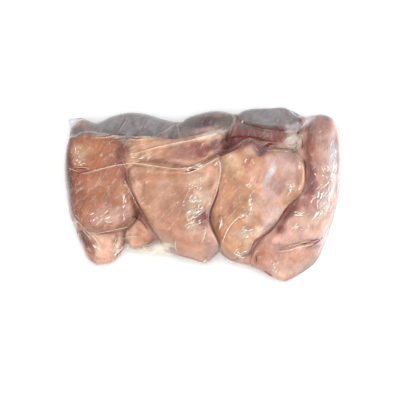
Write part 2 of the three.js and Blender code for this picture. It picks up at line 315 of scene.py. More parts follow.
def drape(heights, passes, suction=0.0):
    """A soft skin over a grid of heights: each pass takes the mean of the four neighbours, less the
    suction, and lifts it back to the heights where it sinks into them. The outermost row and column
    stay."""
    skin = heights.copy()
    for _ in range(passes):
        mean = (skin[1:-1, :-2] + skin[1:-1, 2:] + skin[:-2, 1:-1] + skin[2:, 1:-1]) / 4
        skin[1:-1, 1:-1] = np.maximum(heights[1:-1, 1:-1], mean - suction)
    return skin


def side_height(y):
    """Height of the pack's widest line."""
    return SIDE_HEIGHT + SIDE_RISE * y


def graded_steps(cells):
    """Shares from 0 to 1 in even steps, with ever finer steps at both ends."""
    rim = RIM_SHARE * (np.arange(RIM_CELLS) / RIM_CELLS) ** RIM_CROWDING
    core = np.linspace(RIM_SHARE, 1 - RIM_SHARE, cells + 1)
    return np.concatenate([rim, core, 1 - rim[::-1]])


def spline(a, b, c, d, t):
    """The Catmull-Rom curve between the middle two of four points, at shares t of the way."""
    return b + 0.5 * t * (c - a + t * (2 * a - 5 * b + 4 * c - d + t * (3 * (b - c) + d - a)))


def smooth_line(points, shares):
    """A Catmull-Rom curve through points, as the places at the given shares of its length."""
    points = np.asarray(points, float)
    padded = np.vstack([2 * points[0] - points[1], points, 2 * points[-1] - points[-2]])
    t = np.linspace(0, 1, LINE_SPAN, endpoint=False)[:, None]
    spans = [spline(*four, t) for four in zip(padded[:-3], padded[1:-2], padded[2:-1], padded[3:])]
    dense = np.vstack(spans + [points[-1:]])
    run = np.concatenate([[0], np.cumsum(np.linalg.norm(np.diff(dense, axis=0), axis=1))])
    return np.stack([np.interp(shares * run[-1], run, axis) for axis in dense.T], 1)


@lru_cache(maxsize=1)
def film_edges():
    """The film's four edges as closely spaced points: near, far, left and right."""
    across, along = graded_steps(FILM_ACROSS), graded_steps(FILM_ALONG)
    return (smooth_line(NEAR_EDGE, across), smooth_line(FAR_EDGE, across),
            smooth_line(LEFT_EDGE, along), smooth_line(RIGHT_EDGE, along))


def closed_curve(points):
    """A closed Catmull-Rom curve through points, in even steps from each to the next."""
    four = (np.roll(np.asarray(points, float), shift, axis=0)[:, None] for shift in (1, 0, -1, -2))
    return spline(*four, np.linspace(0, 1, CURVE_STEPS, endpoint=False)[:, None]).reshape(-1, 2)


def reach_of(ring, middle, angle):
    """How far a closed ring is from a place inside it, in each direction that a ray is sent."""
    start, step = ring - middle, np.roll(ring, -1, axis=0) - ring
    c, s = np.cos(angle)[:, None], np.sin(angle)[:, None]
    span = c * step[:, 1] - s * step[:, 0]
    span = np.where(np.abs(span) < 1e-9, 1e-9, span)
    reach = (start[:, 0] * step[:, 1] - start[:, 1] * step[:, 0]) / span
    share = (start[:, 0] * s - start[:, 1] * c) / span
    hits = (share >= 0) & (share <= 1) & (reach > 0)
    return np.where(hits, reach, 1e9).min(1)


@lru_cache(maxsize=None)
def radii_of(points, middle, fill):
    """A fillet's radii at close, equal turns round its middle, up to the curve through its outline's
    points. Where it comes near the film's edge it is drawn out to just inside it, because the film is
    tight."""
    angle = np.linspace(0, 2 * math.pi, OUTLINE_STEPS, endpoint=False)
    near, far, left, right = film_edges()
    film = np.vstack([near, right, far[::-1], left[::-1]])[:, :2]
    radii = reach_of(closed_curve(points), middle, angle)
    room = reach_of(film, middle, angle) - FILL_MARGIN
    radii = np.minimum(radii + (room - radii) * ease(fill, 0.5 * fill, room - radii), room)
    window, half = np.ones(OUTLINE_WINDOW) / OUTLINE_WINDOW, OUTLINE_WINDOW // 2
    return np.convolve(np.concatenate([radii[-half:], radii, radii[:half]]), window, "valid")


def radius_at(fillet, angle):
    """A fillet's radius at any angles, between the close ones of its outline."""
    radii = radii_of(fillet["outline"], fillet["middle"], fillet["fill"])
    turn = (angle / (2 * math.pi) * OUTLINE_STEPS) % OUTLINE_STEPS
    start = np.floor(turn).astype(int) % OUTLINE_STEPS
    t = turn - np.floor(turn)
    return radii[start] * (1 - t) + radii[(start + 1) % OUTLINE_STEPS] * t


def share_out(fillet, x, y):
    """How far out of a fillet a place is: 0 at its middle, 1 on its outline."""
    dx, dy = x - fillet["middle"][0], y - fillet["middle"][1]
    return np.hypot(dx, dy) / radius_at(fillet, np.arctan2(dy, dx))


def profile(share, exponent):
    """Rounded profile from 1 in the middle to 0 on the outline: the root of 1 less the share's power."""
    return np.sqrt(np.clip(1 - share**exponent, 0, None))


def pressed(height):
    """Heights after pressing: over the press level they grow ever more slowly."""
    excess = np.maximum(height - PRESS_LEVEL, 0)
    return height - (1 - PRESS_SHARE) * excess**2 / (excess + PRESS_SOFTNESS)


def upper_side(fillet, x, y, rest, relief, share):
    """Height of a fillet's upper side: its thickness over what it rests on, pressed, and its relief."""
    dx, dy = x - fillet["middle"][0], y - fillet["middle"][1]
    taper = 1 + fillet["lean"][0] * dx + fillet["lean"][1] * dy
    body = fillet["rise"] * taper * profile(share, fillet["crown"])
    return pressed(np.maximum(rest, side_height(y)) + body) + relief * ease(1, RELIEF_EDGE, share)


def lower_side(fillet, y, rest, share):
    """Height of its lower side, which lies on what it rests on and rises to meet the upper side."""
    rim = np.maximum(rest, side_height(y))
    return rim - (rim - rest) * profile(share, SOLE)


@lru_cache(maxsize=1)
def heap():
    """Lays the fillets on each other in order. Each gets the field it rests on and its own relief: soft
    lumps, bundles of muscle along its grain, and dimples. Returns the fillets with these, and two height
    fields of the heap: the film's skin over it, and the one under it, which both span its narrow
    gaps."""
    side = side_height(PLAN_Y)
    pile, soles = np.zeros_like(PLAN_X), side.copy()
    stack = []
    lumps = LUMPS["height"] * mottle(11, LUMPS["across"])
    for number, fillet in enumerate(FILLETS):
        bundles = mottle(30 + number, BUNDLES["across"], BUNDLES["along"], fillet["grain"])
        dimples = mottle(60 + number, DIMPLES["across"])
        relief = lumps + BUNDLES["height"] * bundles + DIMPLES["height"] * dimples
        rest = drape(pile, REST_PASSES)
        share = share_out(fillet, PLAN_X, PLAN_Y)
        top = upper_side(fillet, PLAN_X, PLAN_Y, rest, relief, share)
        sole = lower_side(fillet, PLAN_Y, rest, share)
        pile = np.where(share < 1, np.maximum(pile, top), pile)
        soles = np.where(share < 1, np.minimum(soles, sole), soles)
        stack.append({**fillet, "rest": rest, "relief": relief})
    skin = drape(np.maximum(pile, side), FILM_PASSES, SUCTION)
    return stack, skin, -drape(-soles, UNDERSIDE_PASSES)


def seen_at(pixels):
    """Places on the pack, in millimetres, that show at pixels of the view: each sight line is followed
    down to the heap's skin by a few steps of fixed-point iteration on the height."""
    lines = sight_line(pixels)
    z = np.full(len(lines), AIM[2])
    for _ in range(30):
        reach = (z - CAMERA_PLACE[2]) / lines[:, 2]
        x = CAMERA_PLACE[0] + reach * lines[:, 0]
        y = CAMERA_PLACE[1] + reach * lines[:, 1]
        z = 0.5 * z + 0.5 * sample(heap()[1], x, y)
    return np.stack([x, y], 1)


def unrolled(points):
    """Plan places of points, moved with their height, so that no pattern smears on steep sides."""
    return points[:, 0] + SLOPE_SHIFT[0] * points[:, 2], points[:, 1] + SLOPE_SHIFT[1] * points[:, 2]


def blot(x, y, centre, radii, turn, core, wobble):
    """How much a soft oval blot covers places: 1 inside its core, easing to 0 outside. Its outline is an
    ellipse at turn degrees, made uneven by the wobble field."""
    c, s = math.cos(math.radians(turn)), math.sin(math.radians(turn))
    dx, dy = x - centre[0], y - centre[1]
    out = np.hypot((dx * c + dy * s) / radii[0], (dy * c - dx * s) / radii[1]) + BLOT_WOBBLE * wobble
    return ease(1.0 + 0.5 * (1 - core), core, out)


def along_line(x, y, line):
    """Distance from places to a line through points, and how far along it that is, from 0 to 1."""
    starts, ends = line[:-1], line[1:]
    lengths = np.hypot(*(ends - starts).T)
    total = lengths.sum()
    best = np.full(x.shape, 1e9)
    at = np.zeros(x.shape)
    run = 0.0
    for start, end, length in zip(starts, ends, lengths):
        step = (end - start) / max(length, 1e-9)
        t = np.clip((x - start[0]) * step[0] + (y - start[1]) * step[1], 0, length)
        away = np.hypot(x - start[0] - t * step[0], y - start[1] - t * step[1])
        nearer = away < best
        best = np.where(nearer, away, best)
        at = np.where(nearer, (run + t) / total, at)
        run += length
    return best, at


# -------------------------------------------------------------------------------------------------------
# Colour of the meat

BLOT_WOBBLE = 0.16  # how uneven a blot's outline is
MEAT_BLOT_CORE = 0.35  # share of a blot's radius inside which it is even
FILM_BLOT_CORE = 0.2

COLOURS = {
    "tan_lean": "#c07c51",
    "buff_lean": "#d09f7c",
    "ochre_lean": "#dba981",
    "peach_lean": "#deb08c",
    "pink_lean": "#e3baa9",
    "pale_lean": "#efc9b1",
    "rose_lean": "#b3776a",
    "red_lean": "#aa4936",
    "orange_lean": "#c0804f",
    "brown_lean": "#985a44",
    "ochre_patch": "#b98457",
    "lilac_skin": "#e2c0b6",
    "white_skin": "#f4eef2",
    "fat": "#f3dfcb",
    "yellow_fat": "#e8cba0",
    "maroon": "#923c38",
    "bruise": "#664556",
    "clot": "#4a1a22",
    # painted shade: the grey of the far slopes, which turn away from the light
    "shaded_grey_lean": "#948484",
    "dusky_lean": "#7c4340",
    "deep_brown": "#86381e",
    "violet": "#7a3350",
}

# Each blot of a fillet: its colour, its place as a pixel of the view across and down, its radii in
# millimetres, its turn in degrees and its strength. A later blot lies over an earlier one. Some blots paint
# shade, and some paint light, as told at them.
BLOTS = {
    "lower_left": (
        # the grey blots over the far end are painted shade and reflection: the far slopes turn away from
        # the light and mirror the grey surroundings
        ("shaded_grey_lean", (132, 126), (46, 22), 0, 0.95), ("shaded_grey_lean", (77, 132), (11, 9), 20, 0.9),
        ("deep_brown", (85, 236), (8, 16), 20, 0.75), ("maroon", (85, 243), (2.2, 9), 20, 0.8),
        ("maroon", (92, 240), (1.6, 7), 30, 0.4), ("pale_lean", (104, 248), (14, 13), 0, 0.9),
        ("lilac_skin", (118, 250), (7, 10), -35, 0.7), ("red_lean", (116, 238), (3, 7), -30, 0.6),
        ("orange_lean", (92, 256), (6, 8), 30, 0.3), ("deep_brown", (92, 245), (6, 11), 15, 0.7),
        ("deep_brown", (93, 257), (6, 7), 30, 0.5),
    ),
    "lower_middle_left": (
        # the grey blot over the far end is painted shade and reflection of the far slope, which turns away
        # from the light
        ("shaded_grey_lean", (204, 124), (46, 20), 8, 0.95), ("bruise", (201, 124.5), (14, 5), 0, 1.0),
        ("bruise", (212, 119), (16, 4), 4, 0.8), ("lilac_skin", (184, 134), (18, 7), 12, 0.5),
        ("lilac_skin", (208, 129.5), (18, 4), 8, 0.6), ("fat", (211, 133), (16, 4.5), 17, 1.0),
        ("red_lean", (124, 224), (7, 4), -20, 0.3), ("maroon", (136, 216), (7, 4), -35, 0.45),
        ("maroon", (148, 230), (2.4, 12), 35, 0.5), ("red_lean", (148, 246), (5, 3), 20, 0.5),
        # the pale blot and the fat at 128 across and 222 down are painted light over the crevice's shade at
        # the upper left fillet's corner
        ("pale_lean", (134, 234), (16, 8), 0, 0.75), ("pale_lean", (128, 223), (12, 7), -30, 0.5),
        ("fat", (128, 222), (9, 4), -30, 0.5), ("brown_lean", (152, 234), (4, 6), 30, 0.3),
        ("orange_lean", (143, 236), (11, 8), 0, 0.5), ("maroon", (137, 216), (9, 2.6), -35, 0.35),
        ("red_lean", (150, 243.6), (8, 2), -25, 0.6), ("red_lean", (140, 229), (8, 1.6), -35, 0.4),
    ),
    "lower_middle_right": (
        ("dusky_lean", (250, 132), (50, 12), 0, 0.75), ("clot", (246, 136.5), (18, 2.6), 0, 0.8),
        ("clot", (264, 139), (16, 2.4), 6, 0.75), ("dusky_lean", (230, 145), (18, 11), 12, 0.95),
        ("maroon", (252, 131.5), (15, 5), 0, 0.8), ("red_lean", (278, 139), (10, 6), 10, 1.0),
        ("orange_lean", (285.5, 138.5), (6, 7), 10, 0.8), ("white_skin", (293, 143), (10, 10), 0, 0.8),
        ("red_lean", (284, 150), (14, 2.5), -6, 0.5), ("orange_lean", (240, 254), (14, 6), 0, 0.5),
        ("dusky_lean", (226, 150), (14, 7), 15, 0.9), ("fat", (287, 150.5), (8, 3.5), -8, 0.7),
        ("pale_lean", (232, 258), (16, 4), 0, 0.6), ("fat", (287, 151), (8, 3), -8, 0.5),
        ("clot", (254, 137.4), (16, 2), 4, 0.3), ("fat", (232, 258), (18, 4), 0, 0.5),
        ("clot", (232, 146), (12, 3), 20, 0.5), ("maroon", (268, 133), (9, 4), 0, 0.5),
    ),
    "lower_right": (
        ("rose_lean", (302, 150), (7, 20), 0, 0.6),
    ),
    "far_strip": (
        # the grey blot over the far strip is painted shade and reflection of the far slope, which turns
        # away from the light
        ("shaded_grey_lean", (270, 117), (44, 16), 0, 0.95), ("dusky_lean", (262, 130), (40, 4.5), -4, 0.5),
    ),
    "upper_right": (
        ("rose_lean", (316, 130), (18, 26), 0, 0.7), ("brown_lean", (309, 152), (7, 24), 0, 0.8),
        ("tan_lean", (314, 155), (7, 20), 0, 0.5), ("maroon", (311, 180), (7, 16), -10, 0.8),
        ("maroon", (306, 200), (7, 10), -30, 0.6), ("maroon", (290, 212), (8, 15), -40, 0.85),
        ("maroon", (281, 229), (7, 8), -40, 0.5), ("tan_lean", (260, 254), (11, 15), -30, 0.7),
        # the white and lilac blots down the right side, at 322 to 334 across, are painted sheen: the
        # reflection of the side light along the right slope
        ("white_skin", (334, 165), (9, 40), 0, 0.8), ("lilac_skin", (325, 172), (9, 44), 0, 0.7),
        ("white_skin", (322, 205), (10, 18), -20, 0.6), ("fat", (308, 222), (22, 13), 15, 0.6),
        ("lilac_skin", (300, 232), (20, 9), 10, 0.6), ("maroon", (304, 243), (22, 2.2), 12, 0.8),
        ("maroon", (318, 246), (12, 2.0), 20, 0.6), ("pale_lean", (298, 256), (20, 9), 15, 0.6),
        ("fat", (282, 268), (10, 12), 10, 0.6), ("red_lean", (268, 274), (7, 2.4), -35, 0.5),
        ("maroon", (309, 163), (6, 10), 0, 0.6), ("maroon", (310, 187), (6, 14), 0, 0.5),
        ("rose_lean", (311, 206), (10, 13), -20, 0.6), ("lilac_skin", (324, 130), (15, 16), 0, 0.45),
        ("maroon", (282, 231), (5, 6), -30, 0.6), ("dusky_lean", (278, 249), (9, 7), 0, 0.4),
        ("tan_lean", (290, 258), (15, 8), 10, 0.35), ("white_skin", (322, 240), (8, 20), -30, 0.5),
        ("fat", (303, 266), (16, 6), 33, 0.55), ("dusky_lean", (337, 170), (3, 40), 0, 0.3),
        ("maroon", (309, 165), (5, 9), 0, 0.5), ("dusky_lean", (309, 130), (6, 12), 0, 0.4),
        ("maroon", (311, 182), (5, 9), 0, 0.4), ("rose_lean", (337, 195), (4, 14), 0, 0.5),
        ("dusky_lean", (337, 152), (3, 20), 0, 0.5), ("maroon", (309, 140), (5, 16), 0, 0.4),
        ("fat", (298, 270), (10, 6), 33, 0.5),
    ),
    "upper_left": (
        ("fat", (78, 156), (9, 12), 0, 0.3), ("yellow_fat", (82, 150), (8, 8), 0, 0.3),
        ("orange_lean", (93, 147), (9, 7), 0, 0.8), ("deep_brown", (121, 155), (7, 14), 10, 0.9),
        # the long dark brown blots down the left edge, at 68 to 80 across in this list, are painted shade
        # on the rounded edge where it turns from the light
        ("deep_brown", (68, 185), (7, 50), 0, 1.0), ("brown_lean", (76, 200), (6, 26), 0, 0.35),
        ("orange_lean", (104, 158), (18, 14), 0, 0.5), ("lilac_skin", (101, 217), (22, 12), -6, 0.5),
        ("buff_lean", (94, 184), (14, 8), 0, 0.35), ("deep_brown", (76, 186), (9, 20), 0, 0.35),
        ("brown_lean", (125, 174), (4.5, 13), 20, 0.7), ("dusky_lean", (72, 136), (6, 6), 0, 0.7),
        ("lilac_skin", (119, 214), (12, 10), -10, 0.6), ("deep_brown", (80, 209), (6, 14), -15, 0.45),
        ("deep_brown", (127, 176), (5, 14), 22, 0.5), ("deep_brown", (117, 163), (8, 7), 0, 0.35),
        ("buff_lean", (118, 190), (8, 12), 0, 0.6), ("deep_brown", (118, 160), (9, 7), 0, 0.3),
        ("deep_brown", (70, 200), (5, 30), 0, 0.4), ("lilac_skin", (127, 212), (8, 14), -15, 0.5),
        ("red_lean", (118, 158), (7, 8), 0, 0.25), ("yellow_fat", (86, 151), (9, 13), 0, 0.3),
        ("ochre_patch", (98, 192), (16, 14), 0, 0.3),
    ),
    "upper_back": (
        ("ochre_lean", (144, 154), (22, 9), 15, 0.8), ("orange_lean", (160, 160), (11, 5), 0, 0.5),
        ("red_lean", (198, 151), (13, 10), 5, 0.85), ("rose_lean", (182, 153), (20, 13), 0, 0.75),
        ("maroon", (216, 147), (9, 6), 30, 0.7), ("deep_brown", (124, 152), (7, 14), -10, 0.8),
        ("lilac_skin", (186, 163), (10, 4), 10, 0.4), ("fat", (150, 146), (20, 3), 12, 0.3),
        # the pale blot at 172 across and 163 down is painted light over the shaded gap in front of the long
        # ridge
        ("fat", (210, 136.5), (15, 3), 12, 0.8), ("pale_lean", (172, 163), (24, 4), 4, 0.6),
        ("dusky_lean", (218, 143), (9, 5), 20, 0.85), ("brown_lean", (201, 141.5), (7, 2.5), 10, 0.5),
        ("fat", (210, 136), (17, 4.5), 14, 1.0), ("maroon", (216, 149.5), (8, 5), 30, 0.7),
        ("violet", (189, 167.5), (12, 2.2), 6, 0.6), ("yellow_fat", (140, 156), (14, 7), 10, 0.35),
        # the pale blot at 178 across and 163.5 down is painted light over that same shaded gap
        ("red_lean", (196, 150), (9, 7), 0, 0.3), ("pale_lean", (178, 163.5), (16, 3), 4, 0.4),
        ("lilac_skin", (178, 163), (10, 4), 0, 0.4), ("maroon", (202, 151), (9, 7), 0, 0.35),
    ),
    "upper_middle_right": (
        ("yellow_fat", (234, 166), (11, 15), 0, 0.6), ("ochre_patch", (224, 192), (8, 18), 5, 0.35),
        ("ochre_patch", (240, 205), (10, 14), -30, 0.4), ("brown_lean", (228, 211), (9, 14), -30, 0.3),
        ("rose_lean", (254, 144), (17, 7), 0, 0.9), ("lilac_skin", (287, 172), (18, 26), 0, 0.85),
        ("lilac_skin", (270, 192), (16, 18), 0, 0.8), ("lilac_skin", (269, 218), (11, 20), -30, 0.85),
        ("white_skin", (272, 170), (3.5, 13), -25, 0.75), ("bruise", (259, 152), (4, 5), 10, 0.5),
        ("dusky_lean", (248, 143), (10, 5), 10, 0.6), ("clot", (266, 145), (6, 3), 0, 0.8),
        ("white_skin", (270, 200), (17, 26), -20, 0.25), ("red_lean", (258, 181), (5, 4), 0, 0.45),
        ("red_lean", (248, 163), (8, 5), 0, 0.3), ("yellow_fat", (236, 243), (10, 9), 0, 0.2),
        ("orange_lean", (258, 222), (12, 5), -35, 0.3), ("fat", (243, 234), (8, 6), 0, 0.8),
        ("pale_lean", (256, 176), (9, 16), 0, 0.7), ("pale_lean", (262, 206), (12, 16), 0, 0.5),
        ("fat", (292, 186), (10, 6), -30, 0.3), ("dusky_lean", (228, 150.5), (12, 4), 32, 0.9),
        ("brown_lean", (238, 149), (9, 6), 30, 0.5), ("fat", (250, 151), (6, 6), 0, 0.6),
        ("white_skin", (277, 164), (21, 11), 0, 0.35), ("red_lean", (251, 164), (7, 9), 0, 0.3),
        ("fat", (250, 212), (6, 19), -8, 0.45), ("white_skin", (272, 222), (9, 13), -35, 0.4),
        # the fat blot at 249 across and 246 down is painted light over the crevice's shade at the lower
        # right edge
        ("fat", (261, 234), (9, 7), -30, 0.7), ("fat", (249, 246), (6, 8), 0, 0.5),
        ("maroon", (232, 147.5), (13, 3.5), 32, 0.7), ("violet", (261, 154), (5, 4), 30, 0.9),
        ("violet", (266, 147.5), (8, 3), -30, 0.8), ("lilac_skin", (284, 160), (18, 9), 0, 0.6),
        ("red_lean", (247, 158), (6, 8), 20, 0.25), ("fat", (233, 160), (7, 9), 20, 0.5),
        ("yellow_fat", (238, 175), (5, 6), 0, 0.6), ("deep_brown", (240, 234), (7, 7), 0, 0.2),
        ("fat", (262, 222), (8, 8), -30, 0.3), ("fat", (284, 210), (7, 6), -40, 0.4),
        ("brown_lean", (299, 177), (4, 14), 0, 0.35), ("maroon", (226, 152), (8, 3), 30, 0.5),
        ("ochre_patch", (226, 164), (5, 9), 20, 0.35), ("violet", (262, 150), (8, 6), -20, 0.7),
        ("rose_lean", (272, 150), (10, 4), 0, 0.4),
    ),
    "upper_middle_left": (
        ("ochre_patch", (171, 178), (7, 12), -25, 0.85), ("pale_lean", (163, 180), (3, 12), -25, 0.3),
        ("pale_lean", (202, 182), (20, 22), 0, 0.75), ("fat", (197, 180), (12, 10), 20, 0.45),
        ("fat", (201, 198), (13, 9), 20, 0.75), ("maroon", (203.5, 216), (9, 7), 10, 1.0),
        ("maroon", (196, 212), (7, 2.4), 35, 0.5), ("rose_lean", (180, 208), (12, 9), 0, 0.25),
        ("fat", (196, 226), (12, 9), 30, 0.5), ("lilac_skin", (204, 232), (8, 12), 0, 0.6),
        ("rose_lean", (178, 232), (12, 9), 0, 0.2), ("pale_lean", (200, 253), (14, 10), 0, 0.6),
        ("rose_lean", (214, 232), (4, 12), 0, 0.4), ("orange_lean", (168, 225), (9, 12), 0, 0.2),
        ("deep_brown", (129, 176), (3.5, 12), 20, 0.4), ("maroon", (201, 222), (9, 5), -20, 0.45),
        ("fat", (191, 209), (8, 13), 35, 0.4), ("fat", (190, 224), (7, 6), 0, 0.3),
        ("lilac_skin", (214, 238), (5, 26), 0, 0.6), ("deep_brown", (131, 178), (4, 14), 22, 0.3),
        ("fat", (167, 189), (8, 10), 0, 0.3), ("maroon", (202, 217), (7, 7), 0, 0.5),
        ("fat", (190, 202), (8, 10), 0, 0.25), ("lilac_skin", (214, 250), (6, 16), 0, 0.5),
        ("fat", (156, 198), (9, 12), 0, 0.15), ("ochre_patch", (176, 186), (10, 14), -25, 0.35),
        ("lilac_skin", (208, 206), (6, 14), 20, 0.3),
    ),
}

# Creases of the film: points of the view, width and height in millimetres, and how milky the film is.
CREASES = {
    "long_ridge": (((76, 172), (83, 173.5), (92, 171.5), (102, 169), (112, 166.5), (124, 164.7),
        (138, 164), (152, 166), (166, 168), (179, 169), (190, 167.5)), 1, 1.3, 0.5),
    "long_ridge_start": (((67, 168), (73, 170), (79, 172.5)), 0.8, 0.8, 0.3),
    "short_fold": (((75, 168), (81, 167.6), (88, 168.6), (90, 171)), 0.8, 0.7, 0.3),
    "upper_edge": (((180, 174), (189, 173), (198, 169.5), (206, 165), (214, 160.5), (221, 156.5)), 1.1,
        1.0, 0.45),
    # this fold's milky white is a painted glint where the film catches the light
    "glint_fold": (((181, 168.6), (189, 168), (196, 166), (201, 162.5)), 1.1, 0.9, 0.8),
    "grey_border": (((86, 138.5), (97, 138), (108, 137.6), (120, 136.6), (133, 136.6), (146, 137.2),
        (156, 136.4)), 0.9, 0.9, 0.35),
    "grey_border_low": (((108, 141.5), (118, 140.2), (130, 139.8), (144, 139.6), (158, 138)), 0.9, 0.6,
        0.3),
    "grey_fold": (((156, 136.6), (163, 132.5), (170, 127.5), (176, 124.6)), 1, 0.8, 0.4),
    "cream_ridge": (((128, 158), (138, 153), (150, 149.6), (160, 147), (171, 144.4), (182, 142.4),
        (192, 140.4), (202, 137.6), (212, 135.4), (222, 132.5), (229, 129)), 1.3, 1.2, 0.4),
    "back_fold_one": (((136, 161), (144, 156), (151, 151.6)), 0.8, 0.7, 0.3),
    "back_fold_two": (((146, 162), (151, 157), (156, 153)), 0.8, 0.6, 0.25),
    "back_fold_three": (((128, 150), (136, 146), (146, 144)), 0.8, 0.6, 0.25),
    "middle_ridge": (((218.5, 158), (220.6, 166), (220.4, 174), (218.8, 182), (216.8, 190),
        (214.2, 198), (211.4, 205), (209, 212), (208, 220)), 0.9, 1.1, 0.6),
    "knot_ridge": (((242, 215), (237, 219), (231, 225), (227, 231), (224, 238), (221, 245)), 1.2, 1.0,
        0.7),
    "side_ridge": (((222.5, 219), (220, 226), (218.6, 232)), 1.3, 1.0, 0.8),
    "right_edge": (((264, 150), (273, 150.6), (283, 151), (292, 153.4), (299, 157.5), (302.6, 163),
        (303.4, 172), (303.4, 182), (302.5, 190)), 0.7, 0.9, 0.35),
    "right_edge_low": (((302.5, 190), (297, 196), (290, 202), (284, 209), (279, 217), (275, 223),
        (268, 229), (260, 235), (253, 240.5), (250.6, 248)), 0.7, 0.9, 0.35),
    "web_fold": (((283, 133), (292, 132.5), (300, 129), (306, 122.5), (311, 117)), 1.3, 1.0, 0.4),
    "bunch_one": (((284, 150.6), (292, 151.6), (298, 149), (300.8, 143)), 1.0, 0.4, 0.6),
    "bunch_two": (((286, 146.6), (293, 147.2), (298, 144), (299.8, 138)), 1.0, 0.4, 0.7),
    "bunch_three": (((287, 143), (292, 138.6), (296, 134)), 1.3, 0.4, 0.8),
    "bunch_four": (((291, 144.4), (296, 140), (299.6, 133.6)), 1.3, 0.4, 0.8),
    "bunch_five": (((284, 132.6), (291, 131), (297, 128), (303, 123)), 1.2, 0.5, 0.4),
    "clot_fold": (((254, 147), (257, 149.6), (259, 152.6)), 0.7, 0.2, 0.5),
    "strip_lip": (((245, 124), (256, 128), (268, 130.5), (282, 132), (296, 131)), 1.2, 0.8, 0.1),
    "grey_join": (((236, 117.5), (232.6, 123), (230.4, 129), (228, 135)), 2.4, 0.7, 0.08),
    "grey_wrinkle_one": (((125.6, 117), (123.6, 124), (119, 131), (115, 137)), 1.2, 0.8, 0.1),
    "grey_wrinkle_two": (((149.4, 119.4), (145, 125), (142, 132)), 1.2, 0.7, 0.1),
    "grey_wrinkle_three": (((138, 129), (145, 124), (149, 119.6)), 0.9, 0.5, 0.1),
    "grey_wrinkle_four": (((177, 126), (178.6, 131), (178, 137)), 1.2, 0.7, 0.2),
    "left_low_edge": (((88, 232.6), (97, 233.2), (107, 231.6), (117, 229.6), (126, 227.6), (132, 226)),
        1, 1.1, 0.45),
    "left_pleat_one": (((74, 218), (82, 226.6), (90, 234), (96, 240), (100, 246)), 1.2, 0.9, 0.45),
    "left_pleat_two": (((79, 226), (86, 233.6), (92, 241)), 1.2, 0.9, 0.4),
    "left_pleat_three": (((80, 233), (84, 241), (88, 250)), 1.4, 0.9, 0.1),
    "tip_pleat_one": (((117, 238), (114, 245), (110, 252)), 1.1, 0.9, 0.5),
    "tip_pleat_two": (((127, 244), (121, 250), (114, 257)), 1.5, 1.0, 0.6),
    "tip_pleat_three": (((121, 240), (118, 246), (112, 254)), 1.1, 0.8, 0.6),
    "crevice_line": (((123.6, 181), (128, 188), (132, 195), (137, 205), (142, 213), (148, 223),
        (154, 233), (159, 240)), 0.9, 0.9, 0.5),
    "near_fold": (((119, 239), (128, 237.4), (138, 236.4)), 1.1, 0.7, 0.5),
    "right_fold_one": (((282, 249), (294, 245.4), (306, 242), (318, 240.4), (328, 237)), 1.2, 0.9,
        0.35),
    "right_fold_two": (((274, 252), (288, 250.6), (300, 247), (312, 245), (323, 240)), 1.2, 0.9, 0.45),
    "right_fold_three": (((296, 250), (308, 247.6), (320, 243)), 1.0, 0.7, 0.4),
    "web_rib_one": (((160, 241), (168, 244), (176, 248)), 1.1, 0.7, 0.6),
    "web_rib_two": (((176, 240), (175.4, 246), (177, 252)), 1.3, 0.8, 0.5),
    "centre_rib": (((206, 226), (205, 234), (202, 242)), 1.1, 0.6, 0.4),
}

# Groups of short bright strokes where the film puckers, their milky white a painted glint where the
# wrinkles catch the light: place, spread in millimetres, direction in degrees, stroke length in
# millimetres, how many, and how much the film crinkles between them.
PUCKERS = (
    ((200, 184), (12, 9), 45, 4, 14, 0.5),
    ((196, 201), (13, 9), 42, 6, 22, 0.7),
    ((194, 213), (10, 5), 38, 9, 12, 0.6),
    ((193, 224), (9, 8), 40, 6, 14, 0.8),
    ((251, 204), (2.5, 12), 80, 5, 16, 0.8),
    ((250, 186), (5, 6), 60, 3, 12, 0.8),
    ((243, 216), (5, 4), 10, 5, 8, 0.8),
    ((245, 232), (6, 5), 25, 4, 16, 1.0),
    ((221, 223), (1.6, 8), 78, 5, 8, 0.9),
    ((124, 206), (1.8, 15), 80, 4, 16, 0.8),
    ((126, 187), (3, 5), -50, 4, 6, 0.8),
    ((240, 256), (9, 2), 5, 6, 8, 0.5),
    ((240, 251), (10, 2), 25, 7, 6, 0.4),
    ((333, 168), (5, 24), 75, 8, 20, 0.5),
    ((324, 172), (8, 8), -50, 6, 10, 0.5),
    ((326, 196), (10, 14), 58, 13, 26, 0.5),
    ((318, 212), (10, 8), 50, 10, 12, 0.4),
    ((301, 214), (8, 5), 15, 6, 9, 0.5),
    ((298, 228), (10, 3), 18, 7, 8, 0.6),
    ((276, 265), (5, 6), 50, 4, 10, 0.8),
    ((248, 163), (5, 9), 70, 3, 6, 0.4),
    ((293, 190), (7, 6), 45, 4, 10, 0.7),
    ((299, 164), (2, 6), 80, 4, 5, 0.5),
    ((189, 170), (8, 2), 12, 6, 5, 0.3),
    ((292, 140), (7, 6), 40, 5, 8, 0.6),
    ((297, 142), (2, 8), 75, 5, 4, 0.5),
    ((217, 163), (3, 3), 60, 3, 6, 0.6),
    ((79, 156), (6, 9), 40, 2, 14, 0.4),
    ((82, 163), (8, 4), -5, 5, 5, 0.3),
    ((138, 156), (9, 4), 35, 8, 5, 0.15),
    ((98, 218), (14, 6), 40, 7, 12, 0.2),
    ((118, 250), (5, 9), 55, 9, 12, 0.4),
    ((97, 248), (5, 6), -45, 6, 6, 0.3),
    ((76, 222), (3, 6), -50, 9, 6, 0.3),
    ((206, 262), (8, 2), 10, 4, 4, 0.3),
    ((242.5, 121.4), (1, 0.8), 10, 2.5, 4, 0.3),
    ((199, 165.4), (5, 2.4), 20, 5, 10, 0.4),
    ((226.5, 143.6), (2, 0.8), 20, 2, 3, 0.3),
)
